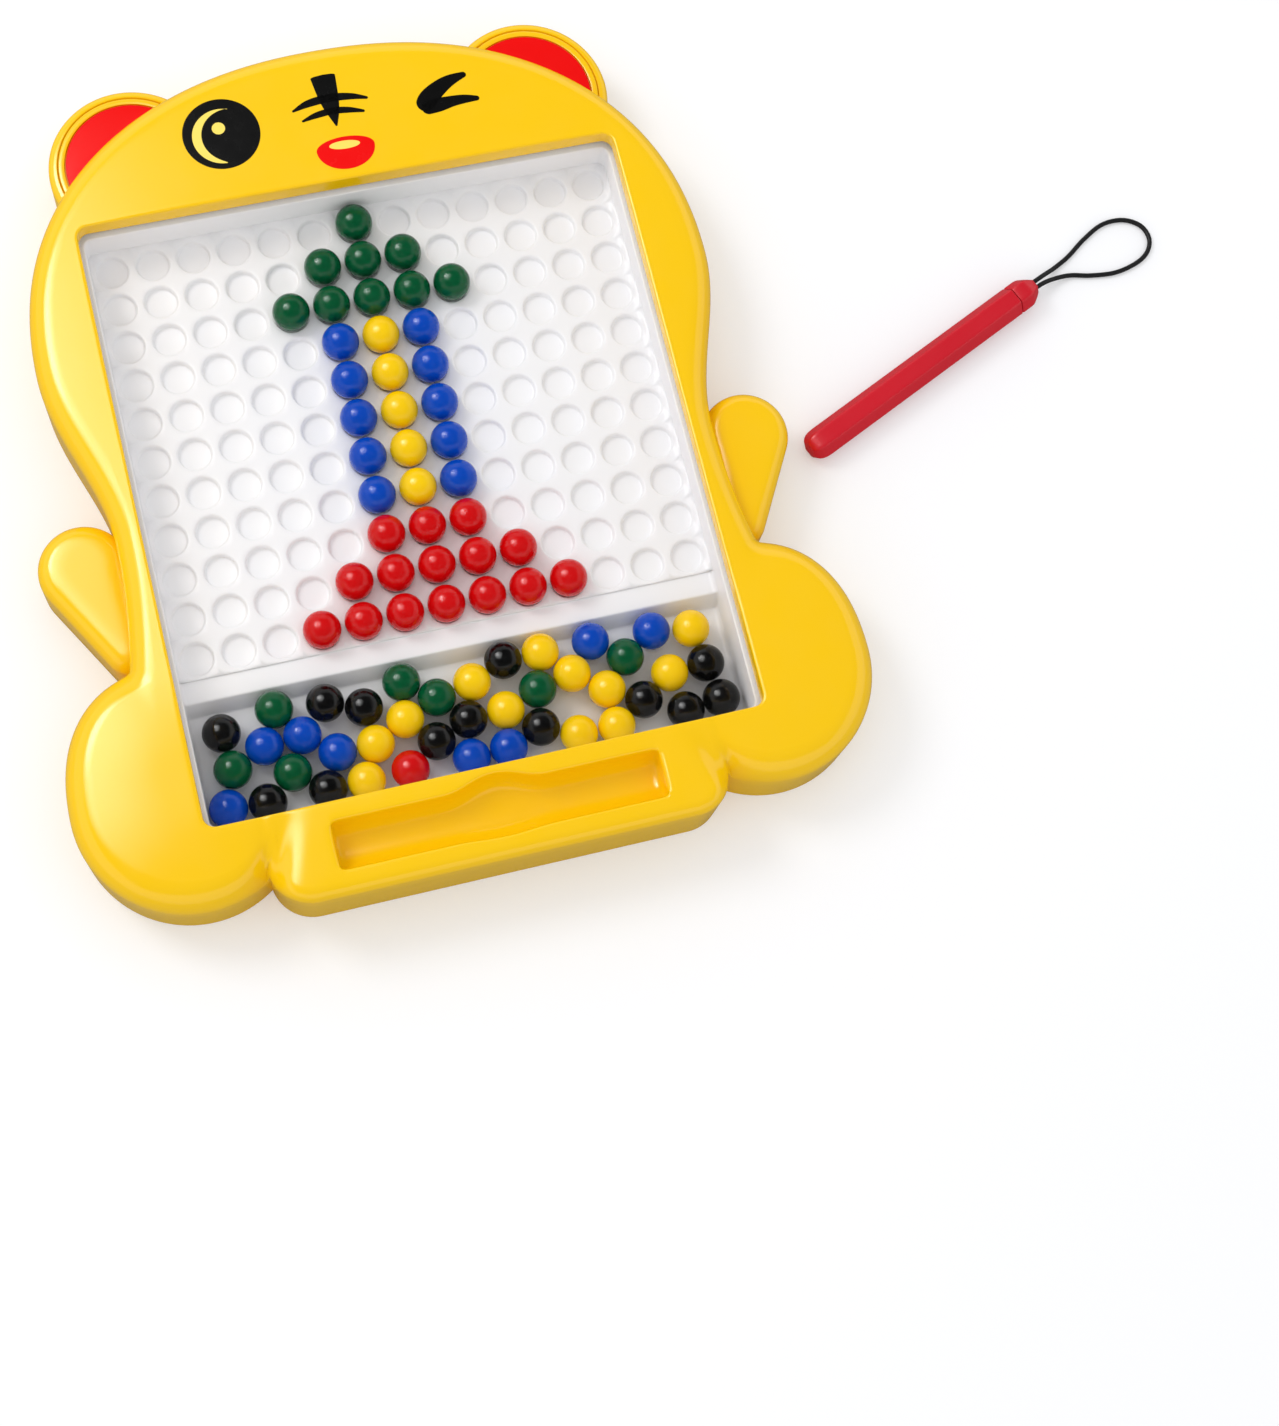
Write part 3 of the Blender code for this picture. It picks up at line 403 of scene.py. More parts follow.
cord_black, cord_shader, cord_start = new_material("cord_black", (0.006, 0.006, 0.007), 0.48,
                                                   Specular_IOR_Level=0.25)
cord_weave = mottle(cord_start, 0.7, 2.0)
cord_tone = blend_colours(cord_start, cord_weave, (0.004, 0.004, 0.005), (0.014, 0.014, 0.015))
link(cord_weave * 0.30 + 0.33, cord_shader, "Roughness")
link(cord_tone, cord_shader, "Base Color")
raise_grain(cord_start, cord_shader, cord_weave, 0.12, 0.8)

loop_points = smooth_line(np.array(LOOP_ROUTE) * 1000.0, CORD_SPACING)
loop_points = on_pen(loop_points + np.array([PEN_HALF_LENGTH, 0.0, -PEN_CENTRE[2]])) / 1000.0
loop_data = bpy.data.curves.new("cord_loop", "CURVE")
loop_data.dimensions = "3D"
loop_spline = loop_data.splines.new("POLY")
loop_spline.points.add(len(loop_points) - 1)
loop_spline.points.foreach_set("co", np.column_stack([loop_points, np.ones(len(loop_points))]).ravel())
loop_spline.use_smooth = True
loop_data.bevel_depth = CORD_DIAMETER / 2000.0
loop_data.bevel_resolution = 4
loop_data.use_fill_caps = True
loop_data.materials.append(cord_black)
cord_loop = bpy.data.objects.new("cord_loop", loop_data)
bpy.context.scene.collection.objects.link(cord_loop)
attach(cord_loop, "pen")
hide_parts("pen_loop")

pen_crimson = moulded("pen_crimson", (0.66, 0.004, 0.018), (0.54, 0.003, 0.014), 0.30, 0.5, 0.010,
                      Specular_IOR_Level=0.4)
seam_place = PEN_HALF_LENGTH - PEN_CAP_LENGTH
tip_places, tip_scales = np.array(TIP_SHARES).T
barrel_rows = pen_rows(-PEN_HALF_LENGTH + PEN_END_LENGTH * tip_places, tip_scales)
flat_places = np.linspace(-PEN_HALF_LENGTH + PEN_END_LENGTH, seam_place - SEAM_ROUNDING, 9)[1:]
barrel_rows += pen_rows(flat_places, np.ones_like(flat_places))
barrel_rows += pen_rows([seam_place - SEAM_ROUNDING / 3, seam_place, seam_place], [0.985, 0.95, 0.75])
bore_end = seam_place - SPIGOT_LENGTH - BORE_ROOM
barrel_rows += round_rows([(seam_place, BORE_RADIUS), (bore_end, BORE_RADIUS), (bore_end, 0.0)])
make_piece("pen_barrel_moulding", *grid_skin(pen_section(barrel_rows), False, True), pen_crimson, "pen",
           "pen_red", ["pen_barrel"])

cap_start = seam_place + PEN_SEAM
cap_places, cap_scales = np.array(CAP_SHARES).T
spigot_end = seam_place - SPIGOT_LENGTH
cap_rows = round_rows([(spigot_end, 0.0), (spigot_end, SPIGOT_RADIUS - SPIGOT_CHAMFER),
                       (spigot_end + SPIGOT_CHAMFER, SPIGOT_RADIUS), (cap_start, SPIGOT_RADIUS)])
cap_rows += pen_rows([cap_start, cap_start, cap_start + SEAM_ROUNDING / 1.5, cap_start + SEAM_ROUNDING],
                     [0.75, 0.95, 0.985, 1.0])
cap_rows += pen_rows((PEN_HALF_LENGTH - PEN_END_LENGTH * cap_places)[::-1], cap_scales[::-1])
cap_rows += [(PEN_HALF_LENGTH - depth, CORD_SLOT_HALF_WIDTH * share, CORD_SLOT_HALF_HEIGHT * share, 1.0)
             for depth, share in ((0.0, 1.0), (CORD_SLOT_DEPTH, 1.0), (CORD_SLOT_DEPTH, 0.0))]
make_piece("pen_cap_moulding", *grid_skin(pen_section(cap_rows), False, True), pen_crimson, "pen",
           "pen_red", ["pen_end_cap"])
refinish("pen_magnet", wandering("magnet_nickel", (0.52, 0.52, 0.54), 0.22, 1.2, 0.2, 0.14, Metallic=1.0)[0])

# Back cover: a flat plate of the same yellow plastic as the frame, slightly duller, with a fine
# eroded texture from the mould. It closes the frame from behind and carries the tray on its rib.
refinish("back_cover", moulded("back_plastic", (0.88, 0.545, 0.010), (0.80, 0.47, 0.008), 0.50, 0.55, 0.05))

# Screws: six zinc-plated self-tapping screws with flat heads and a cross recess, driven up through
# the back cover into the frame's bosses. Each lies just inside its counterbore.
SCREW_HEAD_RADIUS = 2.7
SCREW_HEAD_HEIGHT = 1.0
SCREW_HEAD_ROUNDING = 0.25
SCREW_SHANK_RADIUS = 1.3
SCREW_LENGTH = 11.0
RECESS_HALF_LENGTH = 1.55
RECESS_HALF_WIDTH = 0.34
RECESS_DEPTH = 0.75
RECESS_SOFTNESS = 0.12
SCREW_SIDES = 48


def cross_recess(x, y):
    """Depth of a cross-shaped recess: the deeper of two slots, each a product of two soft steps."""
    def soft_slot(along, across):
        length = 1 / (1 + np.exp((np.abs(along) - RECESS_HALF_LENGTH) / RECESS_SOFTNESS * 2))
        width = 1 / (1 + np.exp((np.abs(across) - RECESS_HALF_WIDTH) / RECESS_SOFTNESS * 2))
        return length * width
    return RECESS_DEPTH * np.maximum(soft_slot(x, y), soft_slot(y, x))


def screw_points(centre_x, centre_y, floor_z):
    """A turned profile: the head's face with its recess, the rounded rim, the shank and a blunt point."""
    turn = np.linspace(0, 2 * np.pi, SCREW_SIDES, endpoint=False)
    rim = SCREW_HEAD_RADIUS - SCREW_HEAD_ROUNDING
    face_radii = np.linspace(0, rim, 18)
    arc = np.linspace(0, np.pi / 2, 4)[1:]
    tip = SCREW_HEAD_HEIGHT + SCREW_LENGTH
    profile = [(radius, 0.0) for radius in face_radii]
    profile += [(rim + SCREW_HEAD_ROUNDING * math.sin(a), SCREW_HEAD_ROUNDING * (1 - math.cos(a)))
                for a in arc]
    profile += [(SCREW_HEAD_RADIUS, SCREW_HEAD_HEIGHT), (SCREW_SHANK_RADIUS, SCREW_HEAD_HEIGHT),
                (SCREW_SHANK_RADIUS, tip - SCREW_SHANK_RADIUS), (SCREW_SHANK_RADIUS / 2, tip), (0.0, tip)]
    radius, height = np.array(profile).T[..., None]
    x, y = radius * np.cos(turn), radius * np.sin(turn)
    face = np.arange(len(profile))[:, None] < len(face_radii)
    z = height + np.where(face, cross_recess(x, y), 0.0)
    return np.stack([centre_x + x, centre_y + y, floor_z + z], axis=-1)


def node_box(node):
    """The lowest and the highest corner of one of the frame's nodes, in millimetres."""
    return [1000.0 * np.array(corner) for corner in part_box(node)]


zinc = wandering("screw_zinc", (0.60, 0.60, 0.61), 0.30, 0.8, 0.22, 0.22, Metallic=1.0)[0]
for number in range(1, 7):
    low, high = node_box(f"back_screw_{number}")
    points = screw_points((low[0] + high[0]) / 2, (low[1] + high[1]) / 2, low[2])
    make_piece(f"screw_{number}", *grid_skin(points, False, True), zinc, "root", "steel",
               [f"back_screw_{number}"], crisp=35.0)

# Dot tray: one white moulding. Thirteen by eleven shallow dimples fill its field. Below them runs a
# plain ledge, a sloping step and the trough for loose beads, and a wall with a flange stands all round.
PITCH = 12.5
COLUMNS = 13
ROWS = 11
GRID_CENTRE_Y = 13.2
FIELD_TOP = 9.7
TROUGH_FLOOR = 3.7
TRAY_BOTTOM = 2.5
TRAY_TOP = 21.4
TRAY_HALF_WIDTH = 81.25
TRAY_HEAD_Y = 81.95
TRAY_FOOT_Y = -101.9
STEP_TOP_Y = -62.3
STEP_FOOT_Y = -65.1
STEP_ROUNDING = 0.9
TRAY_WALL = 1.4
TRAY_CORNER = 2.4
TRAY_SHEET = 1.2
FLANGE_WIDTH = 2.6
FLANGE_THICKNESS = 1.4
RIM_ROUNDING = 0.5
WALL_FILLET = 1.6
FIELD_TUCK = 0.7
LEDGE_TUCK = 0.2
DIMPLE_SEGMENTS = 32
DIMPLE_SHEET = 0.5
# A dimple's profile: (radius, depth) from its soft lip over the short steep wall to its shallow floor
DIMPLE_PROFILE = ((5.66, 0.0), (5.56, 0.03), (5.48, 0.13), (5.42, 0.45), (5.34, 1.00), (5.18, 1.42),
                  (4.85, 1.68), (4.20, 1.84), (0.0, 1.98))
# Rows of a fillet: shares of its radius away from the wall
FILLET_SHARES = np.array([1.0, 0.62, 0.29, 0.08, 0.0])


def wall_fillet(x, y):
    """Height that a floor gains within one fillet's radius of the tray's wall: a quarter circle."""
    near = np.minimum(TRAY_HALF_WIDTH - np.abs(x), np.minimum(TRAY_HEAD_Y - y, y - TRAY_FOOT_Y))
    short = np.clip(WALL_FILLET - near, 0, WALL_FILLET)
    return WALL_FILLET - np.sqrt(WALL_FILLET ** 2 - short ** 2)


def dimpled_field():
    """One patch for each dimple: rings from the square cell's edge in to the round lip and down the
    profile to a pole, repeated over the grid by broadcasting. The field's own edge is tucked into the
    wall."""
    turn = 2 * np.pi * np.arange(DIMPLE_SEGMENTS) / DIMPLE_SEGMENTS
    cos, sin = np.cos(turn), np.sin(turn)
    square = PITCH / 2 / np.maximum(np.abs(cos), np.abs(sin))
    rings, fall_in = np.array(DIMPLE_PROFILE).T[..., None] * np.ones_like(turn)
    radius = np.vstack([square, (square + rings[0]) / 2, rings])
    depth = np.vstack([np.zeros((2, DIMPLE_SEGMENTS)), fall_in])
    column, row = np.meshgrid(np.arange(COLUMNS), np.arange(ROWS))
    centre_x = ((column - (COLUMNS - 1) / 2) * PITCH).reshape(-1, 1, 1)
    centre_y = (GRID_CENTRE_Y + ((ROWS - 1) / 2 - row) * PITCH).reshape(-1, 1, 1)
    x = centre_x + radius * cos
    y = centre_y + radius * sin
    z = FIELD_TOP - depth + wall_fillet(x, y)
    x += np.where(np.abs(x) > TRAY_HALF_WIDTH - 0.01, FIELD_TUCK * np.sign(x), 0)
    y += np.where(y > TRAY_HEAD_Y - 0.01, FIELD_TUCK, 0)
    cells, rings, around = x.shape
    first_points = (np.arange(cells) * rings * around)[:, None, None]
    faces = (grid_faces(rings, around, False, True) + first_points).reshape(-1, 4)
    return np.stack([x, y, z], axis=-1).reshape(-1, 3), faces


def step_profile():
    """The floor's line from the field's edge to the foot wall: ledge, rounded sloping step, trough."""
    slope = math.hypot(STEP_TOP_Y - STEP_FOOT_Y, FIELD_TOP - TROUGH_FLOOR)
    along = np.array([STEP_FOOT_Y - STEP_TOP_Y, TROUGH_FLOOR - FIELD_TOP]) / slope
    lean = math.acos(-along[0])
    reach = STEP_ROUNDING * math.tan(lean / 2)
    share = np.linspace(0, 1, 6)[:, None]
    def corner(point, before, after):
        start, end = point - before * reach, point + after * reach
        return (1 - share) ** 2 * start + 2 * share * (1 - share) * point + share ** 2 * end
    south = np.array([-1.0, 0.0])
    field_edge = GRID_CENTRE_Y - ROWS * PITCH / 2
    top = corner(np.array([STEP_TOP_Y, FIELD_TOP]), south, along)
    foot = corner(np.array([STEP_FOOT_Y, TROUGH_FLOOR]), along, south)
    ledge = [[field_edge + LEDGE_TUCK, FIELD_TOP - LEDGE_TUCK / 10], [field_edge - 2.0, FIELD_TOP]]
    trough_y = [-80.0, -92.0, *(TRAY_FOOT_Y + WALL_FILLET * FILLET_SHARES)]
    return np.vstack([ledge, top, foot, [[y, TROUGH_FLOOR] for y in trough_y]])


def rounded_edge(radius, height, rounding, count):
    """A profile's quarter circle from a wall in to a flat top: pairs of radius and height."""
    return [(radius - rounding * (1 - math.cos(turn)), height - rounding * (1 - math.sin(turn)))
            for turn in np.linspace(0, np.pi / 2, count)]


def rounded_rectangle(half_width, low, high, radius, steps=8):
    """Points round a rectangle with quarter-circle corners."""
    points = []
    for side, end, start in ((1, -1, -0.5), (1, 1, 0.0), (-1, 1, 0.5), (-1, -1, 1.0)):
        turn = np.pi * start + np.linspace(0, np.pi / 2, steps + 1)
        centre_y = high - radius if end > 0 else low + radius
        points.append(np.stack([side * (half_width - radius) + radius * np.cos(turn),
                                centre_y + radius * np.sin(turn)], axis=-1))
    return np.vstack(points)


def tray_wall():
    """A closed profile carried round the tray: inner face, rounded rim, flange, outer face and back."""
    outer, flange_bottom = TRAY_WALL + FLANGE_WIDTH, TRAY_TOP - FLANGE_THICKNESS
    profile = [(0.0, TRAY_BOTTOM)]
    profile += [(-inward, z) for inward, z in rounded_edge(0.0, TRAY_TOP, RIM_ROUNDING, 5)]
    profile += [(outer, TRAY_TOP), (outer, flange_bottom), (TRAY_WALL, flange_bottom),
                (TRAY_WALL, TRAY_BOTTOM)]
    rings = []
    for out, z in profile:
        ring = rounded_rectangle(TRAY_HALF_WIDTH + out, TRAY_FOOT_Y - out, TRAY_HEAD_Y + out,
                                 TRAY_CORNER + out)
        rings.append(np.column_stack([ring, np.full(len(ring), z)]))
    return grid_skin(np.array(rings), True, True)


def thick_sheet(top):
    """A sheet given as a grid, closed into a slab by a copy of it one sheet's thickness lower."""
    loop = np.concatenate([top, top[:, ::-1] - (0.0, 0.0, TRAY_SHEET)], axis=1)
    rows, around = loop.shape[:2]
    faces = [grid_faces(rows, around, False, True)]
    step = np.arange(around // 2 - 1)
    for start in (0, (rows - 1) * around):
        above, below = start + step, start + around - 1 - step
        faces.append(np.stack([above, above + 1, below - 1, below], axis=-1))
    return loop.reshape(-1, 3), np.vstack(faces)


def joined(skins):
    """Points and faces of several skins in one."""
    points, faces, count = [], [], 0
    for skin_points, skin_faces in skins:
        points.append(skin_points)
        faces.append(skin_faces + count)
        count += len(skin_points)
    return np.vstack(points), np.vstack(faces)


tray_white = moulded("tray_white", (0.93, 0.925, 0.935), (0.905, 0.90, 0.915), 0.36, 0.4, 0.004,
                     Specular_IOR_Level=0.25)

# Rows of the floor follow the step's profile, and its columns close up over the fillets
floor_line = step_profile()
side_places = TRAY_HALF_WIDTH - WALL_FILLET * FILLET_SHARES
across = np.concatenate([-side_places[::-1], np.linspace(-78, 78, 7), side_places])
floor_x, floor_y = np.meshgrid(across, floor_line[:, 0])
floor_z = floor_line[:, 1][:, None] + wall_fillet(floor_x, floor_y)
floor_skin = thick_sheet(np.stack([floor_x, floor_y, floor_z], axis=-1))
make_piece("tray_walls_and_trough", *joined([floor_skin, tray_wall()]), tray_white, "root", "tray_white",
           ["dot_tray"])

field = make_piece("tray_dimpled_field", *dimpled_field(), tray_white, "root", "tray_white", ["dot_tray"])
field_sheet = field.modifiers.new("sheet", "SOLIDIFY")
field_sheet.thickness = DIMPLE_SHEET / 1000.0
field_sheet.offset = -1.0

# Beads: glossy balls of coloured plastic round a steel core, all of one size. Thirty-nine sit in
# dimples as a picture, and forty-one lie loose in the trough, five of which are the frame's own nodes.
BEAD_RADIUS = 5.7
BEAD_GAP = 0.06
LYING_Z = 9.75
BEAD_ROWS = 17
BEAD_SIDES = 32
REACH_X = 75.2
REACH_HEAD_Y = -68.95
REACH_FOOT_Y = -95.85
BEAD_COLOURS = {
    "black": ((0.002, 0.002, 0.002), (0.004, 0.004, 0.004)),
    "green": ((0.0, 0.095, 0.030), (0.0, 0.080, 0.026)),
    "blue": ((0.0, 0.068, 0.52), (0.0, 0.055, 0.45)),
    "yellow": ((1.0, 0.66, 0.001), (0.98, 0.60, 0.001)),
    "red": ((0.68, 0.001, 0.002), (0.60, 0.001, 0.002)),
}
# Loose beads beside the five nodes: shares of the trough's length from the left wall, and of its
# width from the step
LOOSE_SHARES = {
    "black": ((0.018, 0.18), (0.285, 0.25), (0.087, 0.95), (0.182, 0.97), (0.402, 0.70), (0.486, 0.70),
              (0.563, 0.11), (0.630, 0.72), (0.824, 0.70), (0.922, 0.45), (0.908, 0.96), (0.990, 0.95)),
    "green": ((0.113, 0.11), (0.367, 0.12), (0.438, 0.38), (0.620, 0.35), (0.813, 0.36), (0.141, 0.70)),
    "blue": ((0.088, 0.58), (0.166, 0.37), (0.236, 0.59), (0.003, 0.98), (0.456, 0.97), (0.760, 0.13),
             (0.863, 0.13)),
    "yellow": ((0.355, 0.41), (0.308, 0.66), (0.266, 0.96), (0.517, 0.35), (0.555, 0.61), (0.667, 0.10),
               (0.705, 0.36), (0.732, 0.69), (0.686, 0.99), (0.771, 0.99), (0.883, 0.64)),
    "red": (),
}


def ball(centre):
    """A sphere's skin: points by latitude from pole to pole and by longitude round the upright axis."""
    latitude = np.linspace(0, np.pi, BEAD_ROWS)[:, None]
    longitude = np.linspace(0, 2 * np.pi, BEAD_SIDES, endpoint=False)
    unit = np.stack([np.sin(latitude) * np.cos(longitude), np.sin(latitude) * np.sin(longitude),
                     np.cos(latitude) * np.ones_like(longitude)], axis=-1)
    return grid_skin(centre + BEAD_RADIUS * unit, False, True)


def settle(loose, fixed, rounds=400):
    """Push the loose centres apart where two balls would overlap, and keep them between the walls."""
    least = 2 * BEAD_RADIUS + BEAD_GAP
    for _ in range(rounds):
        everyone = np.vstack([loose, fixed])
        offset = loose[:, None] - everyone[None]
        distance = np.linalg.norm(offset, axis=-1) + np.eye(len(loose), len(everyone)) * 1e3
        push = np.clip(least - distance, 0, None)
        loose = loose + (offset / np.maximum(distance, 1e-6)[..., None] * push[..., None]).sum(axis=1) * 0.5
        loose[:, 0] = np.clip(loose[:, 0], -REACH_X, REACH_X)
        loose[:, 1] = np.clip(loose[:, 1], REACH_FOOT_Y, REACH_HEAD_Y)
    return loose


bead_finishes = {}
for bead_colour, (light_tone, deep_tone) in BEAD_COLOURS.items():
    made, bead_shader, bead_start = wandering("bead_" + bead_colour, light_tone, 0.18, 2.5, 0.05, 0.15,
                                              Specular_IOR_Level=0.3)
    link(blend_colours(bead_start, mottle(bead_start, 7.0), light_tone, deep_tone), bead_shader, "Base Color")
    bead_finishes[bead_colour] = made

fixed_centres = {}
for node_name in sorted(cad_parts):
    if "_bead_" not in node_name:
        continue
    centre = np.mean(node_box(node_name), axis=0)
    label = node_name.replace("picture_bead_", "").replace("loose_bead_", "")
    bead_colour = label.split("_")[0]
    if node_name.startswith("loose"):
        body = "loose_" + bead_colour
        fixed_centres[bead_colour] = centre
    else:
        body = "picture_" + label.rsplit("_", 1)[0]
    make_piece("bead_of_" + node_name, *ball(centre), bead_finishes[bead_colour], body,
               "bead_" + bead_colour, [node_name])

shares = [(bead_colour, *share) for bead_colour, places in LOOSE_SHARES.items() for share in places]
wanted = np.array([((2 * along - 1) * REACH_X, REACH_HEAD_Y + across * (REACH_FOOT_Y - REACH_HEAD_Y))
                   for _, along, across in shares])
settled = settle(wanted, np.array([centre[:2] for centre in fixed_centres.values()]))
for number, ((bead_colour, _, _), (x, y)) in enumerate(zip(shares, settled), 1):
    make_piece(f"trough_bead_{bead_colour}_{number}", *ball(np.array([x, y, LYING_Z])),
               bead_finishes[bead_colour], "loose_" + bead_colour, "bead_" + bead_colour)

# Clear cover: a sheet of clear polystyrene between the tray's flange and the frame's collar. The
# beads stay under it, and the pen slides over it.
clear_sheet = wandering("clear_sheet", (0.03, 0.03, 0.035), 0.04, 25.0, 0.03, 0.03, Alpha=0.02, IOR=1.49)[0]
refinish("clear_cover", clear_sheet)

# Front shell: the frame's one glossy yellow moulding, hollow behind. Head, waist, feet and handle
# run into one another round the window, and the ears and the arms stand out lower at the sides.
SHELL_WALL = 2.2
FRAME_TOP = 29.1
CEILING = 23.2
WINDOW_HALF_WIDTH = 82.5
WINDOW_HEAD_Y = 83.2
WINDOW_FOOT_Y = -103.15
WINDOW_CORNER = 3.4
WINDOW_ROUNDING = 0.7
HEAD_HALF_WIDTH = 102.8
HEAD_TOP_Y = 130.2
HEAD_WIDEST_Y = 42.2
HEAD_POWER = 2.2
WAIST_HALF_WIDTH = 90.5
WAIST_Y = -14.8
HIP_HALF_WIDTH = 94.0
HIP_Y = -51.0
BODY_FOOT_Y = -108.0
FOOT_X = 86.0
FOOT_Y = -91.3
FOOT_HALF_WIDTH = 33.1
FOOT_RISE = 39.5
FOOT_DROP = 33.8
FOOT_POWER = 2.3
HANDLE_HALF_WIDTH = 68.0
HANDLE_BOTTOM_Y = -130.3
HANDLE_LENGTH = 38.0
HANDLE_CORNER = 12.5
HANDLE_CORNER_X = HANDLE_HALF_WIDTH - HANDLE_CORNER
# Each lobe: how far its top lies below the frame's, the radius of its edge, and its crown's drop and reach
BODY_FORM = (0.1, 7.0, 1.3, 36.0)
FOOT_FORM = (0.2, 8.0, 2.0, 28.0)
HANDLE_FORM = (0.4, 4.0, 0.3, 10.0)
ARM_FORM = (0.0, 4.6, 1.0, 7.5)
UNION_POWER = 4.0
UNION_SOFTNESS = 0.02
OUTSIDE_SLOPE = 4.0
VALLEY_DEPTH = 3.9
VALLEY_POWER = 1.3
VALLEY_WIDTH_FOOT = 5.0
VALLEY_WIDTH_HANDLE = 4.2
VALLEY_START_Y = -121.0
VALLEY_END_Y = WINDOW_FOOT_Y + 4.0
VALLEY_START_X = 67.4
VALLEY_SLOPE = -0.42
GROOVE_Y = -116.2
GROOVE_HALF_LENGTH = 48.2
GROOVE_HALF_WIDTH = 7.1
GROOVE_DEPTH = 9.0
GROOVE_POWER = 2.4
LIP_ROUNDING = 1.1
SCALLOP_HALF_LENGTH = 15.5
SCALLOP_HEAD = 3.4
SCALLOP_FOOT = 0.8
EDGE_SPACING = 1.7
FLAT_MARGIN = 0.15
CLOSING = 3.0
LEAST_LEAN_SHARE = 0.62
BASE_CHAMFER = 0.25
BASE_CHAMFER_SHARE = 0.1
EDGE_LIMIT_SHARE = 0.7
UNDER_FROM = 5
MIRROR = np.array([-1.0, 1.0, 1.0])
# Rows over a rounded edge: shares of its radius in from the outline
EDGE_SHARES = (1 - np.cos(np.linspace(0, np.pi / 2, 9)))[:, None]
# Columns round the groove's end: millimetres beyond it, and shares of the groove's depth and width
GROOVE_END_SHARES = ((-2.4, 1.0, 1.0), (-1.3, 0.975, 0.985), (-0.7, 0.92, 0.955), (-0.3, 0.82, 0.915),
                     (-0.1, 0.66, 0.885), (-0.03, 0.45, 0.87), (0.0, 0.25, 0.86), (0.06, 0.13, 0.86),
                     (0.25, 0.075, 0.86), (0.55, 0.032, 0.86), (0.9, 0.009, 0.87), (1.3, 0.0, 0.88))


def body_half_width(y):
    """Half the body's width: a superellipse above the head's widest line, a cosine ease from there in
    to the waist, and a quadratic flare out to the hips."""
    rise = np.clip((y - HEAD_WIDEST_Y) / (HEAD_TOP_Y - HEAD_WIDEST_Y), 0, 1)
    dome = HEAD_HALF_WIDTH * (1 - rise ** HEAD_POWER) ** (1 / HEAD_POWER)
    up = np.clip((y - WAIST_Y) / (HEAD_WIDEST_Y - WAIST_Y), 0, 1)
    side = WAIST_HALF_WIDTH + (HEAD_HALF_WIDTH - WAIST_HALF_WIDTH) * (1 - np.cos(np.pi * up)) / 2
    flare = np.clip((WAIST_Y - y) / (WAIST_Y - HIP_Y), 0, 1.2)
    hips = WAIST_HALF_WIDTH + (HIP_HALF_WIDTH - WAIST_HALF_WIDTH) * flare ** 2
    return np.where(y > HEAD_WIDEST_Y, dome, np.where(y > WAIST_Y, side, hips))


def inside_ellipse(x, y, half_width, half_height, power):
    """Distance inside a superellipse: one minus its power norm, over the length of the norm's gradient."""
    across, up = np.abs(x) / half_width, np.abs(y) / half_height
    norm = np.maximum((across ** power + up ** power) ** (1 / power), 1e-6)
    lean = np.hypot(across ** (power - 1) / half_width, up ** (power - 1) / half_height)
    return (1 - norm) / np.maximum(norm ** (1 - power) * lean, 1e-6)


def side_stretch(y):
    """Length of the body's side for each millimetre up: the root of one plus its slope squared."""
    return np.sqrt(1 + (body_half_width(y + 0.5) - body_half_width(y - 0.5)) ** 2)


def inside_body(x, y):
    """Distance inside the body: the gap to its side, shortened by the side's slope, below the widest
    line, and the superellipse's distance above it."""
    beside = (body_half_width(y) - np.abs(x)) / side_stretch(y)
    dome = inside_ellipse(x, y - HEAD_WIDEST_Y, HEAD_HALF_WIDTH, HEAD_TOP_Y - HEAD_WIDEST_Y, HEAD_POWER)
    return np.where(y > HEAD_WIDEST_Y, dome, np.minimum(beside, y - BODY_FOOT_Y))


def inside_foot(x, y):
    """Distance inside the nearer foot: a superelliptic instep over a round toe."""
    across, up = np.abs(x) - FOOT_X, y - FOOT_Y
    instep = inside_ellipse(across, up, FOOT_HALF_WIDTH, FOOT_RISE, FOOT_POWER)
    toe = inside_ellipse(across, up, FOOT_HALF_WIDTH, FOOT_DROP, 2.0)
    return np.where(up > 0, instep, toe)


def inside_handle(x, y):
    """Distance inside the handle's rounded rectangle."""
    across = np.abs(x) - HANDLE_CORNER_X
    up = np.abs(y - HANDLE_BOTTOM_Y - HANDLE_LENGTH / 2) - (HANDLE_LENGTH / 2 - HANDLE_CORNER)
    outside = np.hypot(np.maximum(across, 0), np.maximum(up, 0))
    return HANDLE_CORNER - outside - np.minimum(np.maximum(across, up), 0)


def fall(inside, form):
    """How far a lobe's surface lies below the frame's top: its set-down, its crown, which is a square of
    the share of the reach still to go, and the quarter circle of its edge. Outside, it falls steeply."""
    set_down, edge, crown, reach = form
    short = edge - np.clip(inside, 0, edge)
    rounding = edge - np.sqrt(edge ** 2 - short ** 2)
    to_go = 1 - np.clip(inside / reach, 0, 1)
    return set_down + crown * to_go ** 2 + rounding + OUTSIDE_SLOPE * np.clip(-inside, 0, None)


def valley(x, y):
    """The dip between a foot and the handle: it runs from their crease up to the window and fades,
    with a bell-shaped section that is wider on the foot's side."""
    across = np.abs(x) - (VALLEY_START_X + VALLEY_SLOPE * (y - VALLEY_START_Y))
    width = np.where(across > 0, VALLEY_WIDTH_FOOT, VALLEY_WIDTH_HANDLE)
    fade = np.clip((VALLEY_END_Y - y) / (VALLEY_END_Y - VALLEY_START_Y), 0, 1.15)
    return VALLEY_DEPTH * fade ** VALLEY_POWER * np.exp(-(across / width) ** 2)


def frame_height(x, y):
    """Height of the frame's top: its lobes' falls joined by a power mean that lets the highest lobe
    win and rounds the dips between them, less the valleys beside the handle."""
    falls = [fall(inside_body(x, y), BODY_FORM), fall(inside_foot(x, y), FOOT_FORM),
             fall(inside_handle(x, y), HANDLE_FORM)]
    lowered = sum((one + UNION_SOFTNESS) ** -UNION_POWER for one in falls) ** (-1 / UNION_POWER)
    return FRAME_TOP - lowered - valley(x, y)


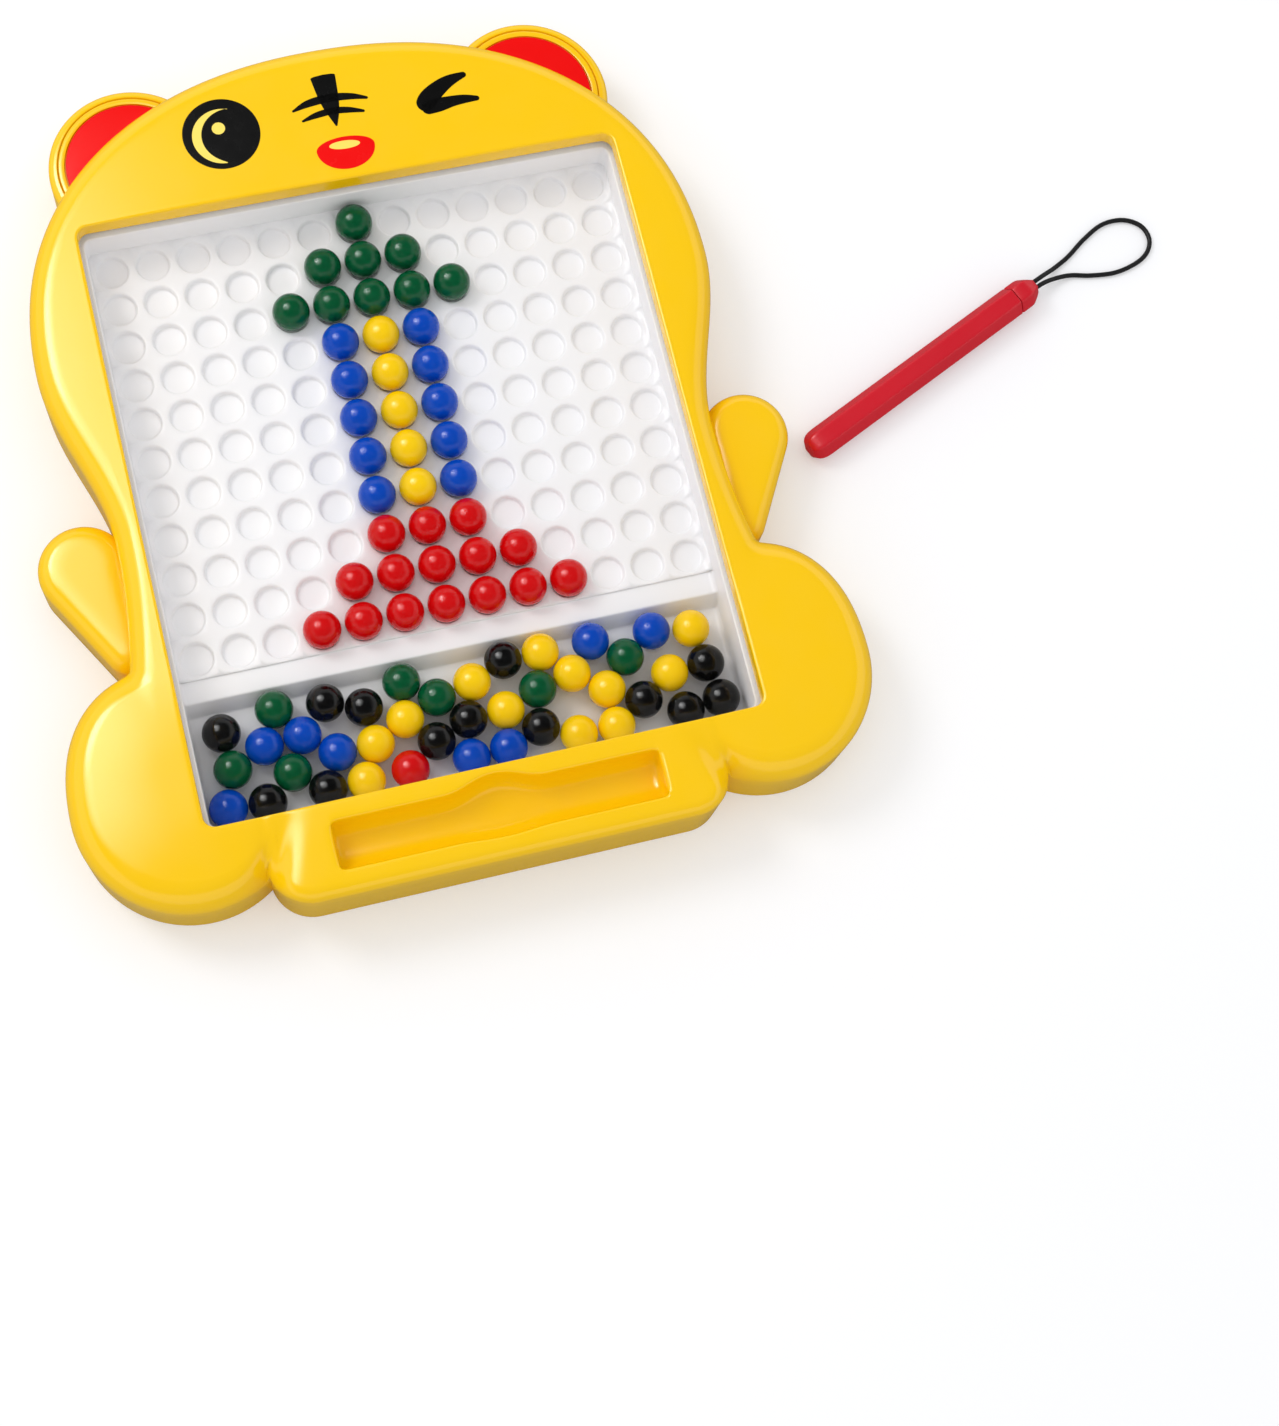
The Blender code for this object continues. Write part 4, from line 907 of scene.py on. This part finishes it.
def oval_arc(x, y, half_width, half_height, start, end, power=2.0, samples=1500):
    """Points of a superellipse between two angles in degrees: their cosine and sine are raised to two
    over its power, with their signs."""
    turn = np.radians(np.linspace(start, end, samples))
    cos, sin = (np.sign(wave) * np.abs(wave) ** (2 / power) for wave in (np.cos(turn), np.sin(turn)))
    return np.stack([x + half_width * cos, y + half_height * sin], axis=-1)


def outer_edge():
    """Right half of the frame's outline from the end of the handle's straight foot up to the top of the
    head: the handle's corner, the foot and the head, each without what lies inside another lobe."""
    corner = oval_arc(HANDLE_CORNER_X, HANDLE_BOTTOM_Y + HANDLE_CORNER, HANDLE_CORNER, HANDLE_CORNER, -90, 0)
    corner = corner[inside_foot(*corner.T) < 0]
    toe = oval_arc(FOOT_X, FOOT_Y, FOOT_HALF_WIDTH, FOOT_DROP, -170, 0)
    instep = oval_arc(FOOT_X, FOOT_Y, FOOT_HALF_WIDTH, FOOT_RISE, 0, 100, FOOT_POWER)
    foot = np.vstack([toe, instep[1:]])
    foot = foot[(inside_handle(*foot.T) < 0) & (inside_body(*foot.T) < 0)]
    side_y = np.linspace(FOOT_Y, HEAD_WIDEST_Y, 3000)
    side = np.stack([body_half_width(side_y), side_y], axis=-1)
    side = side[inside_foot(*side.T) < 0]
    dome = oval_arc(0.0, HEAD_WIDEST_Y, HEAD_HALF_WIDTH, HEAD_TOP_Y - HEAD_WIDEST_Y, 0, 90, HEAD_POWER)
    return corner, foot, np.vstack([side, dome[1:]])


def left_of(line):
    """Unit directions square to a line in plan, on its left."""
    step = np.gradient(line, axis=0)
    return np.stack([-step[:, 1], step[:, 0]], axis=-1) / np.linalg.norm(step, axis=1)[:, None]


def window_line(length):
    """Right half of the window's edge as a function of the length along it from the foot's middle."""
    corner_x, corner = WINDOW_HALF_WIDTH - WINDOW_CORNER, (WINDOW_CORNER, WINDOW_CORNER)
    low = oval_arc(corner_x, WINDOW_FOOT_Y + WINDOW_CORNER, *corner, -90, 0, samples=40)
    high = oval_arc(corner_x, WINDOW_HEAD_Y - WINDOW_CORNER, *corner, 0, 90, samples=40)
    return points_at(np.vstack([[[0.0, WINDOW_FOOT_Y]], low, high, [[0.0, WINDOW_HEAD_Y]]]), length)


def groove_profile(x, deep, narrow):
    """Rows across the handle over each column: how far they lie from the groove's middle line, and how
    deep they are sunk. They are a flat, a lip, the trough, the other lip and two rows on to the window.
    The trough is a superellipse, and its sides swing out for the fingers by a squared cosine."""
    swell = np.cos(np.pi / 2 * np.clip(x / SCALLOP_HALF_LENGTH, -1, 1)) ** 2
    upper = (GROOVE_HALF_WIDTH + SCALLOP_HEAD * swell) * narrow
    lower = (GROOVE_HALF_WIDTH + SCALLOP_FOOT * swell) * narrow
    lip = np.radians([[0], [25], [48], [70]])
    lip_out, lip_down = LIP_ROUNDING * (1 - np.sin(lip)), LIP_ROUNDING * (1 - np.cos(lip))
    swing = -np.cos(np.pi * np.arange(1, 20) / 20)[:, None]
    trough = GROOVE_DEPTH * (1 - np.abs(swing) ** GROOVE_POWER) ** (1 / GROOVE_POWER)
    lip_end = upper + LIP_ROUNDING
    window = WINDOW_FOOT_Y - WINDOW_ROUNDING - GROOVE_Y
    across = np.vstack([-(lower + LIP_ROUNDING + FLAT_MARGIN), -(lower + lip_out), -lower,
                        swing * np.where(swing < 0, lower, upper), upper, (upper + lip_out)[::-1],
                        lip_end + (window - lip_end) * np.array([[0.4], [0.85]])])
    sunk = np.vstack([[[0.0]], lip_down, [[LIP_ROUNDING]], np.maximum(trough, LIP_ROUNDING),
                      [[LIP_ROUNDING]], lip_down[::-1], [[0.0], [0.0]]])
    return across, sunk * deep


def shell_grid():
    """Plan and height of the frame's top, as a grid: rows run from the outline to the window, and
    columns run round the right half. In the handle the rows follow the pen groove's own profile."""
    # Columns over the handle's straight foot: their places on the outline and over the groove, and the
    # shares of the groove's depth and width there
    end_places, end_depths, end_widths = np.array(GROOVE_END_SHARES).T
    end_x = GROOVE_HALF_LENGTH + end_places
    middle_x = np.concatenate([np.linspace(0, 14, 15), np.linspace(14, end_x[0] - 0.3, 18)[1:]])
    beyond_x = np.linspace(end_x[-1] + 1.1, HANDLE_CORNER_X - 1.3, 4)
    edge_x = np.concatenate([middle_x, np.linspace(end_x[0], end_x[-1], len(end_x)), beyond_x])
    groove_x = np.concatenate([middle_x, end_x, beyond_x])
    deep = np.concatenate([np.ones_like(middle_x), end_depths, np.zeros_like(beyond_x)])
    narrow = np.concatenate([np.ones_like(middle_x), end_widths, np.linspace(0.9, 1.0, len(beyond_x))])
    corner, foot, head = outer_edge()
    straight = len(edge_x)
    runs = [np.column_stack([edge_x, np.full(straight, HANDLE_BOTTOM_Y)]), evenly(corner, EDGE_SPACING * 0.7),
            evenly(foot, EDGE_SPACING), evenly(head, EDGE_SPACING)]
    crease = straight + len(runs[1])
    hip = crease + len(runs[2])
    outer = np.vstack(runs)
    lengths = lengths_along(outer)

    # Places on the outline and the lengths along the window's edge that face them
    foot_run = WINDOW_HALF_WIDTH - WINDOW_CORNER
    turn_run = np.pi / 2 * WINDOW_CORNER
    side_start = foot_run + turn_run
    side_end = side_start + WINDOW_HEAD_Y - WINDOW_FOOT_Y - 2 * WINDOW_CORNER
    def facing(y):
        return side_start + y - WINDOW_FOOT_Y - WINDOW_CORNER
    def nearest(x, y):
        return lengths[np.argmin(np.hypot(outer[:, 0] - x, outer[:, 1] - y))]
    pairs = ((0.0, 0.0), (lengths[straight], HANDLE_CORNER_X), (lengths[crease], 62.0),
             (nearest(FOOT_X, FOOT_Y - FOOT_DROP), 72.0), (nearest(102.5, -121.0), foot_run),
             (nearest(116.0, -105.6), side_start),
             (nearest(FOOT_X + FOOT_HALF_WIDTH, FOOT_Y), facing(-90.0)), (lengths[hip], facing(-55.0)),
             (nearest(WAIST_HALF_WIDTH, WAIST_Y), facing(WAIST_Y)),
             (nearest(HEAD_HALF_WIDTH, HEAD_WIDEST_Y), facing(HEAD_WIDEST_Y)),
             (nearest(97.0, 76.0), side_end), (nearest(83.0, 98.6), side_end + turn_run),
             (lengths[-1], side_end + turn_run + foot_run))
    inner = window_line(np.interp(lengths, *np.array(pairs).T))
    inner[:straight, 0] = edge_x

    # Rows, as lengths along the rays from the outline to the window
    ray = inner - outer
    length = np.linalg.norm(ray, axis=1)
    lean = np.clip((ray * left_of(outer)).sum(axis=1) / length, LEAST_LEAN_SHARE, 1)
    on_handle = np.clip((crease - np.arange(len(outer))) / (crease - straight), 0, 1)
    across, sunk = groove_profile(groove_x, deep, narrow)
    handle_fields = GROOVE_Y + across - HANDLE_BOTTOM_Y
    reach = (FOOT_FORM[1] + (HANDLE_FORM[1] - FOOT_FORM[1]) * on_handle) / lean
    reach = np.minimum(reach, EDGE_LIMIT_SHARE * (length - WINDOW_ROUNDING))
    reach[:straight] = np.minimum(reach[:straight], handle_fields[0] - FLAT_MARGIN)
    spread = np.arange(1, len(across) + 1)[:, None] / (len(across) + 0.6)
    fields = reach + (length - WINDOW_ROUNDING - reach) * spread
    fade = on_handle[straight:] ** 2
    last = handle_fields[:, -1:] / length[straight - 1]
    fields[:, straight:] = fields[:, straight:] * (1 - fade) + last * length[straight:] * fade
    fields[:, :straight] = handle_fields
    rounding = np.radians([[22.5], [45], [67.5], [90]])
    places = np.vstack([reach * EDGE_SHARES, fields, length - WINDOW_ROUNDING * (1 - np.sin(rounding))])
    plan = outer + ray * (places / length)[..., None]

    # Over the groove the columns close in on its ends
    on_foot = places[:, :straight]
    to_window = length[:straight] - on_foot
    over_groove = np.clip(on_foot / CLOSING - 1, 0, 1) * np.clip(to_window / CLOSING, 0, 1)
    plan[:, :straight, 0] += (groove_x - edge_x) * over_groove
    drop = np.zeros(places.shape)
    drop[len(EDGE_SHARES):-len(rounding), :straight] = sunk
    drop[-len(rounding):] = WINDOW_ROUNDING * (1 - np.cos(rounding))
    inset = outer + ray * (SHELL_WALL / lean / length)[:, None]
    return plan, frame_height(plan[..., 0], plan[..., 1]) - drop, inset


def hollow_moulding(plan, height, inset):
    """A moulded skin closed on itself: up the outer wall, over the top, down the inner edge, back
    beneath one wall's thickness lower, and down the wall's inside to the rim."""
    outer, edge = plan[0], height[0]
    under = np.minimum(height - SHELL_WALL, CEILING)
    chamfered = outer + (inset - outer) * BASE_CHAMFER_SHARE
    rows = [(chamfered, 0.0), (outer, BASE_CHAMFER), (outer, edge * 0.4), (outer, edge * 0.75)]
    rows += [*zip(plan, height), *zip(plan[:UNDER_FROM:-1], under[:UNDER_FROM:-1])]
    rows += [(inset, under[0]), (inset, 0.0)]
    return np.array([np.column_stack([points, np.broadcast_to(z, len(points))]) for points, z in rows])


def mirrored_columns(points):
    """A right half's columns followed by their mirror images, so that the loop closes round the frame."""
    return np.concatenate([points, points[:, -2:0:-1] * MIRROR], axis=1)


# Arms: two egg-shaped pads that stand out of the waist below the frame's top. They are part of the
# same yellow moulding, hollow behind, with a rounded edge that runs into the body's side.
ARM_TOP = 20.0
ARM_SHOULDER = (101.0, -17.3, 13.4)
ARM_PAW = (93.5, -44.3, 6.6)
JOIN_DEPTH = 1.2


def inside_arm(x, y):
    """Distance inside the hull of the arm's two circles: from the nearer circle, or from the tangent
    that joins them."""
    shoulder, paw = np.array(ARM_SHOULDER[:2]), np.array(ARM_PAW[:2])
    length = np.linalg.norm(paw - shoulder)
    axis = (paw - shoulder) / length
    dx, dy = x - shoulder[0], y - shoulder[1]
    along = dx * axis[0] + dy * axis[1]
    aside = np.abs(dx * axis[1] - dy * axis[0])
    lean = (ARM_SHOULDER[2] - ARM_PAW[2]) / length
    straight = math.sqrt(1 - lean ** 2)
    side = along * straight - aside * lean
    from_tangent = ARM_SHOULDER[2] - aside * straight - along * lean
    from_shoulder = ARM_SHOULDER[2] - np.hypot(dx, dy)
    from_paw = ARM_PAW[2] - np.hypot(x - paw[0], y - paw[1])
    return np.where(side < 0, from_shoulder, np.where(side > straight * length, from_paw, from_tangent))


def arm_grid():
    """Rays from the arm's outline to a line just inside the body's side, with rows close together on
    the rounded edge. Both ends of the grid close where the two lines meet."""
    turn = np.radians(np.linspace(-180, 180, 2400))
    away = np.stack([np.cos(turn), np.sin(turn)], axis=-1)
    circles = [np.array(circle) for circle in (ARM_SHOULDER, ARM_PAW)]
    reach = [away @ circle[:2] + circle[2] for circle in circles]
    rims = [circle[:2] + away * circle[2] for circle in circles]
    outline = np.where((reach[0] > reach[1])[:, None], rims[0], rims[1])
    outline = evenly(outline[inside_body(*outline.T) < JOIN_DEPTH], 0.8)
    ends_y = outline[[0, -1], 1]
    inner_y = np.linspace(*ends_y, len(outline))
    inner = np.stack([body_half_width(inner_y) - JOIN_DEPTH * side_stretch(inner_y), inner_y], axis=-1)
    inner[[0, -1]] = outline[[0, -1]]
    ray = inner - outline
    length = np.maximum(np.linalg.norm(ray, axis=1), 1e-6)
    rounded = np.minimum(ARM_FORM[1] * 1.05, EDGE_LIMIT_SHARE * length)
    rest = rounded + (length - rounded) * (np.arange(1, 11) / 10)[:, None]
    plan = outline + ray * (np.vstack([rounded * EDGE_SHARES, rest]) / length)[..., None]
    height = ARM_TOP - fall(inside_arm(plan[..., 0], plan[..., 1]), ARM_FORM)
    inset = outline + ray * (np.minimum(SHELL_WALL, 0.5 * length) / length)[:, None]
    return plan, height, inset


# Ears: round lugs behind the head, part of the same hollow yellow moulding. Each has a thin groove
# round a shallow pocket, which takes a red inlay.
EAR_X = 62.0
EAR_Y = 105.0
EAR_RADIUS = 25.2
EAR_TOP = 19.0
EAR_EDGE = 2.6
EAR_COLUMNS = 97
EAR_POCKET = 18.0
EAR_CEILING = 15.8
# From the ear's rounded edge in over the thin groove and down into the pocket: (radius, height)
EAR_PROFILE = ((22.60, 19.0), (22.46, 18.90), (22.36, 18.20), (22.20, 17.95), (22.04, 18.20), (21.94, 18.90),
               (21.80, 19.0), (20.45, 19.0), (20.26, 18.92), (20.20, 18.65), (20.20, EAR_POCKET))
INLAY_RADIUS = 19.8
INLAY_BOTTOM = 18.05
INLAY_TOP = 19.35
INLAY_EDGE = 0.45
INLAY_GAP = 0.12


def ear_sweep(profile, start_depth):
    """A profile of (radius, height) swept round the ear's centre outside the head: no point lies
    nearer the centre than the head's side, at the given depth inside it."""
    angles = np.radians(np.linspace(-60, 170, 2301))
    radii = np.linspace(1.0, EAR_RADIUS + 0.8, 501)
    x = EAR_X + radii[:, None] * np.cos(angles)
    y = EAR_Y + radii[:, None] * np.sin(angles)
    depth = inside_body(x, y) - start_depth
    first = np.argmax(depth < 0, axis=0)
    before = np.maximum(first - 1, 0)
    index = np.arange(len(angles))
    span = depth[before, index] - depth[first, index]
    near = radii[before] + (radii[1] - radii[0]) * depth[before, index] / np.where(span == 0, 1, span)
    near = np.where((depth < 0).any(axis=0), near, 2 * EAR_RADIUS)
    widest = max(radius for radius, _ in profile)
    kept = np.flatnonzero(near < widest)
    sweep = np.linspace(angles[kept[0]], angles[kept[-1]], EAR_COLUMNS)
    near = np.interp(sweep, angles, near)
    near[[0, -1]] = widest
    radius, height = np.array(profile).T[..., None]
    radius = np.maximum(radius, near)
    return np.stack([EAR_X + radius * np.cos(sweep), EAR_Y + radius * np.sin(sweep),
                     height * np.ones_like(radius)], axis=-1)


def ear_profile():
    """The ear's section from its rim on the floor up the wall, over the rounded edge, in to the pocket,
    and back beneath to the rim."""
    inside = EAR_RADIUS - SHELL_WALL
    return [(inside, 0.0), (EAR_RADIUS - SHELL_WALL * BASE_CHAMFER_SHARE, 0.0), (EAR_RADIUS, BASE_CHAMFER),
            *rounded_edge(EAR_RADIUS, EAR_TOP, EAR_EDGE, 7), *EAR_PROFILE,
            (1.0, EAR_POCKET), (1.0, EAR_CEILING), (inside, EAR_CEILING)]


frame_plastic = moulded("frame_plastic", (0.95, 0.59, 0.001), (0.94, 0.555, 0.001), 0.18, 0.35, 0.003,
                        Specular_IOR_Level=0.5)
arm = hollow_moulding(*arm_grid())
ear = ear_sweep(ear_profile(), JOIN_DEPTH)
skins = [grid_skin(mirrored_columns(hollow_moulding(*shell_grid())), True, True)]
skins += [grid_skin(grid * side, True, False) for grid in (arm, ear) for side in (1.0, MIRROR)]
make_piece("frame_shell", *joined(skins), frame_plastic, "root", "frame_yellow", ["front_shell"], crisp=40.0)

# Ear inlays: discs of red plastic with rounded edges, pressed into the ears' pockets and cut off
# where the head covers them.
inlay_red = moulded("inlay_red", (0.86, 0.001, 0.001), (0.80, 0.001, 0.001), 0.30, 0.3, 0.004,
                    Specular_IOR_Level=0.1)
inlay_profile = [(1.0, INLAY_BOTTOM), (INLAY_RADIUS, INLAY_BOTTOM),
                 *rounded_edge(INLAY_RADIUS, INLAY_TOP, INLAY_EDGE, 5), (1.0, INLAY_TOP)]
inlay = ear_sweep(inlay_profile, -INLAY_GAP)
for side_name, inlay_grid in (("right", inlay), ("left", inlay * MIRROR)):
    make_piece(f"inlay_{side_name}", *grid_skin(inlay_grid, True, False), inlay_red, "root", "inlay_red",
               [f"ear_inlay_{side_name}"])

# Face: a simple animal face printed on the head in black, red and pale yellow ink. Each mark is a thin
# closed film that follows the head's surface.
INK_LIFT = 0.05
INK_STEP = 0.03
INK_ROOT = 0.3
FILM_ROWS = 9
MARK_SAMPLES = 61
# Ovals: middle and half-width, then rise, drop and tilt where they differ from a circle's
EYE = (-34.1, 104.9, 11.7)
EYE_DOT = (-34.6, 106.8, 2.0)
NOSE = (1.5, 93.2, 8.9, 3.7, 7.0)
NOSE_GLINT = (1.4, 94.2, 4.7, 1.35, 1.35, -2.0)
# The glint between two circles: middles and radii, and the turn in degrees
EYE_GLINT = ((-33.9, 104.1, 9.1), (-31.4, 104.0, 8.8))
EYE_GLINT_TURN = (70.0, 268.0)
BROAD_END = 3.5
END_CORNER = 0.7
# Strokes: middle line and half-width
STROKES = {
    "forehead_stroke": ((-0.2, 118.6, 3.9), (0.0, 111.7, 3.2), (0.2, 107.5, 2.5), (0.35, 104.5, 1.6),
                        (0.4, 100.7, 0.2)),
    "upper_arch": ((-11.8, 107.9, 0.3), (-6.5, 109.7, 1.2), (0.0, 110.4, 1.35), (6.5, 109.8, 1.1),
                   (11.8, 108.3, 0.4)),
    "lower_arch": ((-9.6, 104.1, 0.3), (-4.8, 105.4, 1.0), (0.2, 105.9, 1.1), (5.0, 105.4, 1.0),
                   (9.9, 104.1, 0.4)),
    "wink_upper": ((43.0, 110.8, 0.8), (37.6, 109.4, 1.9), (33.3, 107.2, 2.6), (29.6, 104.3, 3.0),
                   (26.9, 100.9, 2.4)),
    "wink_lower": ((27.0, 101.2, 2.1), (32.3, 101.8, 2.3), (37.0, 102.3, 1.8), (41.0, 102.3, 1.4),
                   (45.2, 101.8, 0.7)),
}


def film(first, second, layer):
    """A closed film between two lines that meet at both ends: its face lies just above the head's
    surface, and its back a little under it."""
    share = np.linspace(0, 1, FILM_ROWS)[:, None, None]
    plan = first + (second - first) * share
    height = frame_height(plan[..., 0], plan[..., 1])
    face = np.concatenate([plan, (height + INK_LIFT + INK_STEP * layer)[..., None]], axis=-1)
    back = np.concatenate([plan, (height - INK_ROOT)[..., None]], axis=-1)
    return np.concatenate([face, back[::-1]])


def oval_edges(x, y, half_width, rise=None, drop=None, tilt=0.0):
    """Upper and lower edges of an oval: half ellipses, turned by the tilt in degrees. The rise and the
    drop are the half-width unless they are given."""
    turn = np.linspace(np.pi, 0, MARK_SAMPLES)
    across = half_width * np.cos(turn)
    cos, sin = math.cos(math.radians(tilt)), math.sin(math.radians(tilt))
    return [np.stack([x + across * cos - up * sin, y + across * sin + up * cos], axis=-1)
            for up in ((rise or half_width) * np.sin(turn), -(drop or half_width) * np.sin(turn))]


def stroke_edges(knots):
    """Both edges of a brush stroke: half-widths set off square to its middle line, with round ends,
    and a broad end that is cut nearly square."""
    line = smooth_line(knots, 0.2)
    middle, width = line[:, :2], line[:, 2]
    along, aside = lengths_along(middle), left_of(middle)
    for from_end, end_width in ((along, width[0]), (along[-1] - along, width[-1])):
        roundness = max(end_width, 0.2) if end_width < BROAD_END else END_CORNER
        short = 1 - np.clip(from_end / roundness, 0, 1)
        width = width * np.sqrt(1 - short ** 2)
    return middle + aside * width[:, None], middle - aside * width[:, None]


def glint_edges():
    """A crescent between two circles that cross each other: arcs over the given turn that are drawn
    together at the ends."""
    first, second = (oval_arc(x, y, r, r, *EYE_GLINT_TURN, samples=MARK_SAMPLES) for x, y, r in EYE_GLINT)
    pull = np.abs(np.linspace(-1, 1, MARK_SAMPLES))[:, None] ** 8
    return first, second * (1 - pull) + first * pull


ink_black = wandering("ink_black", (0.004, 0.004, 0.004), 0.28, 3.0, 0.12, 0.20, Specular_IOR_Level=0.12)[0]
ink_red = wandering("ink_red", (0.84, 0.001, 0.001), 0.28, 3.0, 0.12, 0.20, Specular_IOR_Level=0.1)[0]
ink_pale = wandering("ink_pale", (0.95, 0.72, 0.10), 0.30, 3.0, 0.12, 0.24)[0]
marks = [("eye", oval_edges(*EYE), 0, ink_black), ("eye_glint", glint_edges(), 1, ink_pale),
         ("eye_dot", oval_edges(*EYE_DOT), 1, ink_pale), ("nose", oval_edges(*NOSE), 0, ink_red),
         ("nose_glint", oval_edges(*NOSE_GLINT), 1, ink_pale)]
marks += [(mark, stroke_edges(knots), 0, ink_black) for mark, knots in STROKES.items()]
for mark, edges, layer, ink in marks:
    make_piece("print_" + mark, *grid_skin(film(*edges, layer), True, False), ink, "root")
